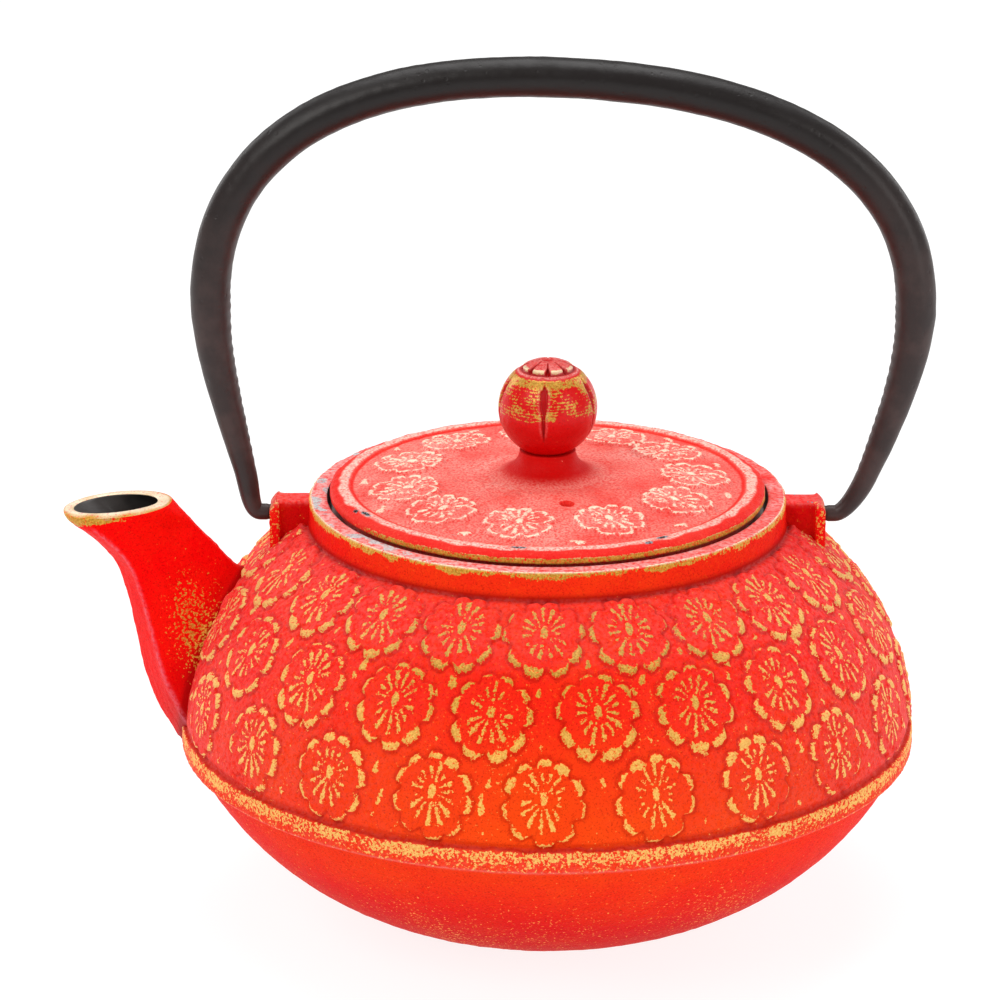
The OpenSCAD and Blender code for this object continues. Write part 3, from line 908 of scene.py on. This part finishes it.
def lug(side, name, node):
    out, top = lug_high[0], lug_high[2]
    flange = (lug_high[1] - lug_low[1]) / 2
    back = out - FLANGE_T
    half = [[COLLAR_R - 2.2, LUG_WEB], [back - FILLET, LUG_WEB]]
    half += offsets(back, LUG_WEB, (-0.25 * FILLET, 0.25 * FILLET), (0, 0.8 * FILLET))
    half += [[back, flange - 0.35], [back + 0.2, flange]]
    half = np.array(half + offsets(out, flange, (-0.45, 0), (-0.1, -0.15), (0, -0.5)))
    loop = np.concatenate([half, half[::-1] * [1, -1]])
    # even steps round the outline
    ends = np.roll(loop, -1, 0)
    counts = np.maximum(1, np.round(np.linalg.norm(ends - loop, axis=1) / 0.45)).astype(int)
    loop = np.array([p + (q - p) * k / n for p, q, n in zip(loop, ends, counts) for k in range(n)])
    tangent = np.roll(loop, -1, 0) - np.roll(loop, 1, 0)
    inward = unit(tangent[:, ::-1] * [-1, 1])
    if (inward * (loop.mean(0) - loop)).sum() < 0:
        inward = -inward
    levels = [(z, 0.0) for z in np.linspace(LUG_LOW, top - 0.9, 26)]
    levels += [(top - 0.9 + 0.9 * math.sin(t), 0.55 * (1 - math.cos(t))) for t in np.radians([22, 45, 68, 90])]
    rows = np.stack([np.insert(loop + inward * inset, 2, z, axis=1) for z, inset in levels])
    rows[..., :2] -= inward * wobbles(rows, (0.05, 2.0, 51 + side), (0.04, 5.0, 53 + side))[..., None]
    # the outer top corner is rounded off
    x, z = rows[..., 0].copy(), rows[..., 2].copy()
    rows[..., 2] -= 0.7 * smooth(x, out - LUG_ROUND, out) ** 2 * smooth(z, top - 3 * LUG_ROUND, top) * LUG_ROUND
    edge = smooth(x, back - 0.4, back + 0.2)
    scuff = smooth(z, top - 1.2, top - 0.2)
    rows[..., 0] *= side
    skin = Skin()
    # painted shade over the web, darker lower down; the scuffs at the top are wear
    ids = skin.rings(rows, gold=0.40 * edge * smooth(z, 76, 84), worn=0.2 * scuff, dust=0.15 + 0.3 * edge,
                     deep=(0.55 + 0.35 * smooth(90 - z, 4, 14)) * (1 - edge) * (1 - scuff),
                     bare=0.46 * scuff * (1 - edge) * smooth(wobble(rows, 3, 55), 0.1, 0.6))
    hub = (out - 1.2) * side
    skin.cap(ids[0], (hub, 0, LUG_LOW), first=True)
    skin.cap(ids[-1], (hub, 0, top - 0.1), worn=0.2)
    bore = rod((side * (out - 7), 0, PIVOT_Z), (side * (out + 2), 0, PIVOT_Z), BORE_R, 32, red_enamel)
    place(cut(skin.object(name, [red_enamel]), bore), "pot", "red_enamel", node)


lug(-1, "lug_spout_side_casting", "lug_spout_side")
lug(1, "lug_far_side_casting", "lug_far_side")


# ---- Lid ----

LID_FINE = 704
LID_COARSE = 176
LID_R = lid_high[0]
NECK_Z = lid_high[2]
SEAT_Z = lid_low[2]
CREST_Z = 92.8
CREST_R = LID_R - 3.3
CREST_DROP = 0.46
DOME_Z = 94.9
PEDESTAL_R = 12.5
NECK_R = 5.9
RIVET_R = 2.0
VENT = (4, -19.7)
VENT_R = 1.6
BLOSSOM_R = 30.2
LID_BLOSSOMS = (96.0, 62.9, 34.0, 2.3, -29.7, -65.3, -101.1, -135.4, -164.9, 162.0, 129.8)
# chips on the crest: azimuth, width in degrees, rows of points from the crest's top
LID_CHIPS = ((262, 3.4, 0.5), (303, 2.9, 0.0), (298, 1.4, -5.0), (210, 3.4, -1.5), (206, 1.8, -6.0))


def lid():
    skin = Skin()
    fine, coarse = columns(LID_FINE), columns(LID_COARSE)

    # underside, from the bore out to the edge, in coarse columns
    under_z = DOME_Z - 3.6
    skirt_in, skirt_out, skirt_z = skirt_high[0] - 2.4, skirt_high[0], skirt_low[2]
    under = [[r, under_z] for r in (RIVET_R, 8, 16, 24, skirt_in - 3)]
    under += offsets(skirt_in, SEAT_Z, (-0.4, 0.6), (0, 0))
    under += offsets(skirt_in, skirt_z, (0, 0.4), (0.4, 0))
    under += offsets(skirt_out, skirt_z, (-0.4, 0), (0, 0.4))
    under += offsets(skirt_out, SEAT_Z, (0, -0.3), (0.3, 0))
    under += [[40, SEAT_Z]] + offsets(LID_R, SEAT_Z, (-2.0, 0), (-1.6, 0.4)) + [[LID_R - 1.6, RIM_Z - 0.5]]
    ids_under = skin.rings(revolve(under, coarse), worn=0.1, dust=0.1)

    # overhang, edge and crest, in fine columns
    edge = offsets(LID_R, RIM_Z, (-0.8, 0.05), (-0.15, 0.2), (0, 0.45), (0, 0.8))
    crest = [[CREST_R + 3.3 * math.cos(t), CREST_Z - 1.6 + 1.6 * math.sin(t)]
             for t in np.radians(np.arange(8, 97, 4))]
    crest += offsets(CREST_R, CREST_Z, (-0.5, -0.04), (-0.8, -0.16), (-1.15, -0.36), (-1.5, -CREST_DROP))
    outer = edge + crest
    rows = revolve(outer, fine)
    dent = wobbles(rows, (0.05, 2.2, 61), (0.06, 8.0, 62))
    rows = revolve(outer, fine, dent, 0.7 * dent)
    at = np.arange(len(outer))[:, None]
    crest_at = len(edge) + 19
    ragged = wobble(rows * [1, 1, 0], 6.0, 63)
    bare = np.zeros(ragged.shape)
    for azimuth, wide, down in LID_CHIPS:
        bare = np.maximum(bare, 0.85 * hump(fine - azimuth, wide) * hump(at - crest_at - down, 3.4))
    gold = 0.72 * window(at + 0.7 * ragged, 0.0, 1.6, 4.2, 6.6)
    # painted highlight: a pale line along the top of the crest; a little painted shade on its outer slope
    crest_line = smooth(at + 1.2 * ragged, crest_at - 6, crest_at - 3)
    crest_line = crest_line * (1 - smooth(at, crest_at + 3.5, crest_at + 5.5))
    ids_edge = skin.rings(rows, gold=gold * (1 - 0.8 * smooth(spoutward(fine), 0.7, 0.9)), bare=bare,
                          worn=crest_line * (1 - bare),
                          deep=0.15 * window(at, 7, 10, 13, 17))
    skin.stitch(ids_edge[0], ids_under[-1], flip=True)

    # dome with its ring of blossoms
    r_start, z_start = CREST_R - 1.9, CREST_Z - CREST_DROP
    r_rows = np.linspace(r_start, PEDESTAL_R + 0.6, 92)
    slope = (r_start - r_rows) / (r_start - PEDESTAL_R)
    z_rows = z_start + (DOME_Z - z_start) * (slope + 0.132 * np.sin(math.pi * slope))
    profile = np.stack([r_rows, z_rows], 1)
    azimuth = fine + 0 * r_rows[:, None]
    r = r_rows[:, None] + 0 * azimuth
    dice = np.random.default_rng(71)
    height, gold, shade, cover = (np.zeros_like(r) for _ in range(4))
    luck = dice.uniform(0, 1, (len(LID_BLOSSOMS), RANDOM_SHARES))
    for n, first in enumerate(LID_BLOSSOMS):
        # u is sideways and v outward
        u = np.radians((azimuth - first + 180) % 360 - 180) * r
        v = r - BLOSSOM_R
        near = np.hypot(u, v) < 10.5
        row = np.broadcast_to(luck[n], (near.sum(), RANDOM_SHARES))
        h, g, c, d = blossom(u[near], -v[near], 90 + dice.uniform(-30, 30), 7.9, (0.78, 0.0), 0.2, row)
        height[near] = np.maximum(height[near], 1.1 * h) + np.minimum(h, 0)
        stamp(near, (gold, g), (shade, d), (cover, c))
    for first in LID_BLOSSOMS:
        # a fragment between this blossom and the next
        u = np.radians((azimuth - first + 196) % 360 - 180) * r - dice.uniform(-1.0, 1.0)
        v = r - dice.uniform(37.6, 39.4)
        near = np.hypot(u, v) < 4
        h, g = streak(u[near], v[near], dice.uniform(0.6, 2.4), dice.uniform(1.2, 3.2), 0.8, 0.4)
        height[near] += 0.28 * h * (1 - cover[near])
        stamp(near, (gold, 0.9 * g * (1 - cover[near])))
    flat = revolve(profile, fine)
    height += wobbles(flat, (0.05, 1.6, 72), (0.05, 5.0, 73))
    # painted sheen: pale pink over the dome for the overhead light's reflection, a little more on the spout
    # side, and paler gold on the blossoms; it also sets where chips show. Painted shade beside the blossoms
    pale = 0.31 + 0.07 * clip01(spoutward(azimuth)) + 0.10 * wobble(flat, 12, 74)
    ids_dome = skin.rings(revolve(profile, fine, 0.0, height), gold=gold, deep=shade * 0.45,
                          worn=pale + 0.3 * gold * cover)
    skin.band(ids_edge[-1], ids_dome[0])

    # pedestal and its bore, in coarse columns
    t = np.radians(np.linspace(4, 90, 24))
    flare = np.stack([NECK_R + (PEDESTAL_R - NECK_R) * (1 - np.sin(t)),
                      NECK_Z - (NECK_Z - DOME_Z) * np.cos(t)], 1)
    bore = [[NECK_R - 0.15, NECK_Z - 0.02], [4.0, NECK_Z]]
    bore += [[RIVET_R, z] for z in (NECK_Z, NECK_Z - 2, under_z + 1.5)]
    pedestal = np.concatenate([flare, bore])
    # painted shade: the pedestal darkens toward the neck under the knob, and its outer flare carries the dome's
    # painted sheen
    far_out = smooth(pedestal[:, :1], 7.8, 11.8)
    ids_neck = skin.rings(revolve(pedestal, coarse), deep=1 - far_out, worn=0.38 * far_out)
    skin.stitch(ids_dome[-1], ids_neck[0])
    skin.band(ids_neck[-1], ids_under[0])
    vent = rod((*VENT, 80), (*VENT, 99), VENT_R, 40, lid_enamel)
    return cut(skin.object("lid_casting", [lid_enamel]), vent)


place(lid(), "lid", "lid_enamel", "lid", "lid_skirt")


# ---- Knob ----

KNOB_R = knob_high[0]
KNOB_Z = knob_high[2] - KNOB_R
KNOB_COLS = 384
# degrees to a petal of the rosette and between slits, and in mm between strokes of gold
ROSETTE_PETAL = 45
SLIT_GAP = 72
SLIT_TURN = -4.6
STROKE_PITCH = 0.62


def knob():
    skin = Skin()
    azimuth = columns(KNOB_COLS, FRONT)
    start = math.asin((NECK_Z - KNOB_Z) / KNOB_R)
    lat = np.linspace(start, math.pi / 2 - 0.012, 172)[:, None] + 0 * azimuth
    az = np.radians(azimuth)
    flat_r, up = KNOB_R * np.cos(lat), KNOB_R * np.sin(lat)
    way = np.stack([np.cos(lat) * np.cos(az), np.cos(lat) * np.sin(az), np.sin(lat)], -1)
    base = way * KNOB_R + [0, 0, KNOB_Z]
    # rosette of eight petals, in a recess on the top
    alpha = np.abs((azimuth - FRONT) % ROSETTE_PETAL - ROSETTE_PETAL / 2) + 0 * lat
    d = 5.5 * (1 - 0.30 * smooth(alpha, 14, ROSETTE_PETAL / 2)) - flat_r
    top = up > 0
    rosette = smooth(d, -0.1, 0.35) * top
    hub = (1 - smooth(flat_r, 0.8, 1.5)) * top
    vein = hump(alpha - ROSETTE_PETAL / 2, 3.5) * window(flat_r, 1.4, 2.4, 5.4, 6) * top
    dish = (1 - smooth(flat_r, 5.7, 6.2)) * top
    groove = hump(flat_r - 6.5, 0.4) * top
    height = -0.55 * dish + 0.6 * rosette - 0.5 * hub - 0.25 * groove - 0.35 * vein
    # pointed slits down the sides
    gap = (azimuth - FRONT - SLIT_TURN + SLIT_GAP / 2) % SLIT_GAP - SLIT_GAP / 2
    across = np.abs(np.radians(gap)) * flat_r
    tip = window(up, -5.3, -1.0, 5.4, 7.4)
    width = (0.38 + 0.42 * smooth(up, 0.5, 3.5)) * tip
    slit = smooth(width - across, -0.15, 0.2) * (tip > 0.02)
    lip = hump(across - width - 0.3, 0.25) * smooth(tip, 0.1, 0.5)
    height += 0.08 * lip - 0.6 * slit
    points = base + way * (height + 0.015 * wobble(base, 1.6, 81))[..., None]
    # brushed gold: fine level strokes on the upper half, closed into a band under the rosette
    around = way * [1, 1, 0] * KNOB_R
    stroke = np.cos(up * TURN / STROKE_PITCH + 0.8 * wobble(around, 9.0, 82))
    patchy = wobble(around + [0, 0, 1] * up[..., None] * 1.5, 5.0, 83)
    brushed = 0.40 + 0.18 * stroke + 0.22 * patchy + 0.10 * hump(across - width - 0.8, 1.2)
    brushed = brushed * window(up, -0.6, 0.6, 6.4, 6.9)
    band = smooth(up + 0.35 * patchy, 5.9, 6.5) * (1 - smooth(up, 7.7, 8.1))
    ring = hump(up + 0.1 - 0.25 * wobble(around, 7.0, 85), 0.26) * (wobble(around, 4.0, 84) > -0.35)
    ends = smooth(d, -0.05, 0.25) * smooth(0.95 - d, 0, 0.3) * (alpha < 15) * top
    gold = np.maximum.reduce([brushed, 0.78 * band, 0.62 * ring, 0.9 * ends])
    # painted shade in the slits, the dish, the hub dimple and the veins, and on the lower half of the ball;
    # painted highlights on the rosette, the groove's edge and the slits' lips, and paler gold at the petal ends
    deep = 0.7 * slit + 0.9 * dish * (1 - rosette) + 0.4 * hub + 0.8 * vein + 0.3 * (1 - smooth(up, -4, 0))
    shine = 0.25 * rosette * (1 - hub) * (1 - vein) + 0.45 * hump(flat_r - 6.3, 0.25) * top + 0.12 * lip
    bore = offsets(RIVET_R, NECK_Z, (0, 7.0), (0, 0), (2.5, 0))
    ids_bore = skin.rings(revolve(bore, azimuth))
    skin.cap(ids_bore[0], (0, 0, NECK_Z + 7.6), first=True)
    ids = skin.rings(points, gold=gold * (1 - 0.9 * slit) * (1 - 0.9 * groove), deep=deep,
                     worn=shine + 0.3 * ends)
    skin.band(ids_bore[-1], ids[0])
    skin.cap(ids[-1], points[-1].mean(0), deep=0.6)
    return skin.object("ball_knob", [knob_enamel])


place(knob(), "lid", "lid_enamel", "knob")


# ---- Handle ----

BAR_D = handle_high[1] - handle_low[1]
BOW_RISE = handle_high[2] - PIVOT_Z - BAR_D / 2
BOW_HALF_W = 73.5
# control points of four curves from foot to foot, as shares of the half width and the rise
BOW = np.array([[-0.841, 0], [-0.882, 0.17], [-0.96, 0.34], [-0.958, 0.50],
                [-0.953, 0.775], [-0.70, 1], [-0.068, 1],
                [0.62, 1], [1.048, 0.816], [1.042, 0.477],
                [1.042, 0.34], [0.965, 0.181], [0.868, 0]])
# the bar's thickness at shares of the way from either foot
TAPER = np.array([[0, 0.44], [0.05, 0.56], [0.12, 0.74], [0.24, 1], [0.5, 1]])
BAR_SIDES = 56
BEND_FROM = 8.5
FOOT_R = 1.72
# the foot and the pin, from the bend inward: distance from the lug's face, and radius
PIN = np.array([[1.3, FOOT_R], [0.75, FOOT_R], [0.48, FOOT_R - 0.06], [0.42, 1.68], [0.38, 1.6], [0.2, 1.6],
                [-1.4, 1.6], [-2.8, 1.6], [-4.6, 1.6], [-4.95, 1.35], [-5.05, 0.8]])


def handle_end(side, at, way, r_at):
    """Bend, foot and pin on one side, from a point of the bow and its heading there."""
    foot = np.array([side * (lug_high[0] + 2.0), PIVOT_Z])
    t = np.linspace(0, 1, 26)[1:]
    bend = bezier([at, at + way * 4.2, foot + [side * 2.2, 0], foot], t)
    pin = np.stack([side * (lug_high[0] + PIN[:, 0]), PIVOT_Z + 0 * PIN[:, 0]], 1)
    return np.concatenate([bend, pin]), np.concatenate([r_at + (FOOT_R - r_at) * smooth(t, 0, 1), PIN[:, 1]])


def handle():
    control = BOW * [BOW_HALF_W, BOW_RISE] + [0, PIVOT_Z]
    line, shares = [], []
    for k in range(4):
        t = np.linspace(0, 1, 401)[min(k, 1):]
        line.append(bezier(control[3 * k:3 * k + 4], t))
        shares.append((k + t) / 4)
    line, shares = np.concatenate(line), np.concatenate(shares)
    length = run_length(line)
    steps = np.linspace(0, length[-1], 520)
    path = np.stack([np.interp(steps, length, line[:, i]) for i in (0, 1)], 1)
    share = np.interp(steps, length, shares)
    radius = BAR_D / 2 * np.interp(np.minimum(share, 1 - share), *TAPER.T)
    # at each end the bar leaves the bow through a tight bend, then runs along the axis as the pin
    kept = path[:, 1] > PIVOT_Z + BEND_FROM
    path, radius = path[kept], radius[kept]
    heading = unit(np.gradient(path, axis=0))
    near_path, near_r = handle_end(-1, path[0], -heading[0], radius[0])
    far_path, far_r = handle_end(1, path[-1], heading[-1], radius[-1])
    full = np.concatenate([near_path[::-1], path, far_path])
    radius = np.concatenate([near_r[::-1], radius, far_r])
    along = run_length(full)
    from_end = np.minimum(along, along[-1] - along)[:, None]
    outward = (unit(np.gradient(full, along, axis=0))[:, ::-1] * [-1, 1])[:, None]
    # forged faces: a rounded section with a few broad flats that drift along the bar
    a = np.radians(columns(BAR_SIDES))
    drift = 0.25 * np.sin(along / 38)[:, None]
    body = smooth(from_end, 14, 26)
    flats = np.cos(4 * (a + drift)) * 0.012 + np.cos(6 * a + 1.1 - drift) * 0.005
    r = radius[:, None] * (1 + body * flats) / (1 + body * 0.012)
    normal = np.stack([outward[..., 0] * np.cos(a), np.sin(a) + 0 * r, outward[..., 1] * np.cos(a)], -1)
    points = np.stack([full[:, 0], 0 * along, full[:, 1]], -1)[:, None] + normal * r[..., None]
    dents = wobbles(points, (0.035, 9.0, 91), (0.02, 2.6, 92))
    # hammered seam along the inside of both lower legs
    inside = hump(a - math.pi, 0.34)
    leg = window(from_end, 14, 22, 52, 66)
    teeth = (0.5 + 0.5 * np.sin(along * TURN / 2.3 + np.sin(along / 5)))[:, None] * leg
    points = points + normal * (dents * body + inside * (0.18 * teeth - 0.08 * leg))[..., None]
    skin = Skin()
    # painted reflection: a brown-red tint along the inner side of the bar, where it faces the red pot
    ids = skin.rings(points, worn=inside * body * (0.45 + 0.55 * wobble(points, 16, 93)))
    skin.cap(ids[0], (full[0, 0], 0, full[0, 1]), first=True)
    skin.cap(ids[-1], (full[-1, 0], 0, full[-1, 1]))
    return skin.object("bail_handle", [forged_bar])


place(handle(), "handle", "forged_bar", "handle")


# ---- Infuser ----

BASKET_R = basket_high[0]
BASKET_LOW, BASKET_TOP = basket_low[2], basket_high[2]
STEEL_T = 0.6
INNER_R = BASKET_R - STEEL_T
PLAIN_BAND = 2.0
HOLE_COLS = 96
HOLE_ROWS = 18
HOLE_SHARE = 0.56  # of half a cell
FLOOR_HOLE_R = 0.8
FLOOR_PITCH = 3.1


def perforated_wall():
    """A tube of square cells, each with an eight-sided hole right through."""
    skin = Skin()
    # the cells' corners and edge middles lie on a grid of half cells
    azimuth = columns(2 * HOLE_COLS)
    half_z = (BASKET_TOP - BASKET_LOW - 2 * PLAIN_BAND) / HOLE_ROWS / 2
    z = BASKET_LOW + PLAIN_BAND + np.arange(2 * HOLE_ROWS + 1) * half_z
    i, j = np.arange(HOLE_ROWS) * 2 + 1, np.arange(HOLE_COLS) * 2 + 1
    ways = [(-1, -1), (0, -1), (1, -1), (1, 0), (1, 1), (0, 1), (-1, 1), (-1, 0)]
    shells = []
    for r in (BASKET_R, INNER_R):
        ids = skin.add(revolve(np.stack([r + 0 * z, z], 1), azimuth))
        hole = []
        for dx, dz in ways:
            k = HOLE_SHARE / math.hypot(dx, dz)
            corner_z = z[i] + dz * half_z * k
            hole.append(revolve(np.stack([r + 0 * corner_z, corner_z], 1), azimuth[j] + dx * azimuth[1] * k))
        edge = np.stack([ids[np.ix_(i + dz, (j + dx) % len(azimuth))] for dx, dz in ways], -1)
        shells.append((ids, edge, skin.add(np.stack(hole, 2))))
    (out_ids, out_edge, out_hole), (in_ids, in_edge, in_hole) = shells
    for first, second in ((out_edge, out_hole), (out_hole, in_hole), (in_hole, in_edge)):
        for k in range(8):
            m = (k + 1) % 8
            q = np.stack([first[..., k], first[..., m], second[..., m], second[..., k]], -1)
            skin.quads.append((q.reshape(-1, 4), skin.slot))
    # plain bands and ends
    for start, radii, z, stop in ((out_ids[-1], (BASKET_R, INNER_R), BASKET_TOP, in_ids[-1]),
                                  (in_ids[0], (INNER_R, BASKET_R), BASKET_LOW, out_ids[0])):
        ids = skin.rings(revolve([[r, z] for r in radii], azimuth))
        skin.band(start, ids[0])
        skin.band(ids[1], stop)
    return skin.object("infuser_mesh_wall", [infuser_steel], smooth_shade=False)


def infuser_floor():
    r = INNER_R - 0.02
    low, top = BASKET_LOW, BASKET_LOW + STEEL_T
    skin = Skin()
    ids = skin.rings(revolve([[r - 0.5, low], [r, low + 0.2], [r, top], [r - 1.2, top]], columns(96)))
    skin.cap(ids[0], (0, 0, low), first=True)
    skin.cap(ids[-1], (0, 0, top))
    piece = skin.object("infuser_mesh_floor", [infuser_steel], smooth_shade=False)
    drill = Skin()
    for j in range(-12, 13):
        for i in range(-12, 13):
            x, y = (i + 0.5 * (j % 2)) * FLOOR_PITCH, j * FLOOR_PITCH * 0.866
            if math.hypot(x, y) > r - 2.6:
                continue
            hole = revolve([[FLOOR_HOLE_R, low - 1], [FLOOR_HOLE_R, low + 2]], columns(10)) + [x, y, 0]
            ids = drill.rings(hole)
            drill.cap(ids[0], (x, y, low - 1), first=True)
            drill.cap(ids[1], (x, y, low + 2))
    return cut(piece, drill.object("cutter", [infuser_steel]))


def infuser_rim():
    low, top, out, r = basket_rim_low[2], basket_rim_high[2], basket_rim_high[0], BASKET_R
    profile = offsets(r, low, (-STEEL_T, 0), (0, 0), (0, 2.6), (0.22, 3.0), (0, 3.4))
    profile += arc_points(r + 1, LEDGE_Z - 1, 1.0, 180, 90, 3).tolist()
    profile += offsets(out, LEDGE_Z, (-0.5, 0), (-0.1, 0.12), (0, 0.3))
    profile += offsets(out, top, (-0.1, -0.1), (-0.5, 0))
    profile += arc_points(r + 1, LEDGE_Z - 1, 1.0 + STEEL_T, 90, 180, 3).tolist()
    skin = Skin()
    ids = skin.rings(revolve(profile, columns(192)))
    skin.band(ids[-1], ids[0])
    return skin.object("infuser_rolled_rim", [infuser_steel])


place(perforated_wall(), "infuser", "infuser_steel", "infuser_wall")
place(infuser_floor(), "infuser", "infuser_steel", "infuser_floor")
place(infuser_rim(), "infuser", "infuser_steel", "infuser_rim")


# ---- CAD nodes that stay ----

for node in ("knob_rivet", "knob_washer"):
    kept = frame["nodes"][node]
    kept.data.materials.clear()
    kept.data.materials.append(fixing_steel)


# ---- Floor, light and camera ----

FLOOR_HALF = 6.0


def stage_floor():
    f = Finish("pale_floor")
    tone = f.mix(f.noise(60.0, 2.0), (0.20, 0.20, 0.20), (0.22, 0.22, 0.22))
    f.use(Base_Color=tone, Roughness=0.8, Specular_IOR_Level=0.2,
          Emission_Color=(1.0, 1.0, 1.0), Emission_Strength=0.86)
    mesh = bpy.data.meshes.new("floor")
    w = FLOOR_HALF
    mesh.from_pydata([(-w, -w, 0), (w, -w, 0), (w, w, 0), (-w, w, 0)], [], [(0, 1, 2, 3)])
    mesh.materials.append(f.material)
    in_scene("floor", mesh)


stage_floor()

world = bpy.data.worlds.new("studio")
bpy.context.scene.world = world
world.use_nodes = True
world.node_tree.nodes["Background"].inputs["Color"].default_value = (1.0, 0.99, 0.98, 1.0)
world.node_tree.nodes["Background"].inputs["Strength"].default_value = 0.38


def aimed(name, data, at, aim):
    thing = in_scene(name, data)
    thing.location = at
    thing.rotation_mode = "QUATERNION"
    thing.rotation_quaternion = (Vector(aim) - Vector(at)).to_track_quat("-Z", "Y")
    return thing


def softbox(name, at, size, power, colour=(1, 1, 1)):
    light = bpy.data.lights.new(name, "AREA")
    light.shape = "RECTANGLE"
    light.size, light.size_y = size
    light.energy = power
    light.color = colour
    aimed(name, light, at, (0.0, 0.0, 0.08))


softbox("key", (-0.75, -0.75, 0.95), (0.7, 0.7), 7.0, (1.0, 0.98, 0.95))
softbox("fill", (0.9, -0.7, 0.5), (0.6, 0.8), 3.8, (1.0, 0.97, 0.95))
softbox("top", (0.0, 0.25, 1.2), (1.0, 0.7), 8.0)
softbox("rim_left", (-0.8, 0.7, 0.5), (0.4, 0.9), 3.0)
softbox("rim_right", (0.8, 0.7, 0.5), (0.4, 0.9), 3.0)

lens = bpy.data.cameras.new("camera")
lens.sensor_width = 36.0
lens.lens = 179.9
lens.clip_start, lens.clip_end = 0.01, 20.0
camera = aimed("camera", lens, (-0.00102, -1.0, 0.42563), (-0.01003, 0.0, 0.08861))
bpy.context.scene.camera = camera
bpy.context.scene.view_settings.view_transform = "Standard"
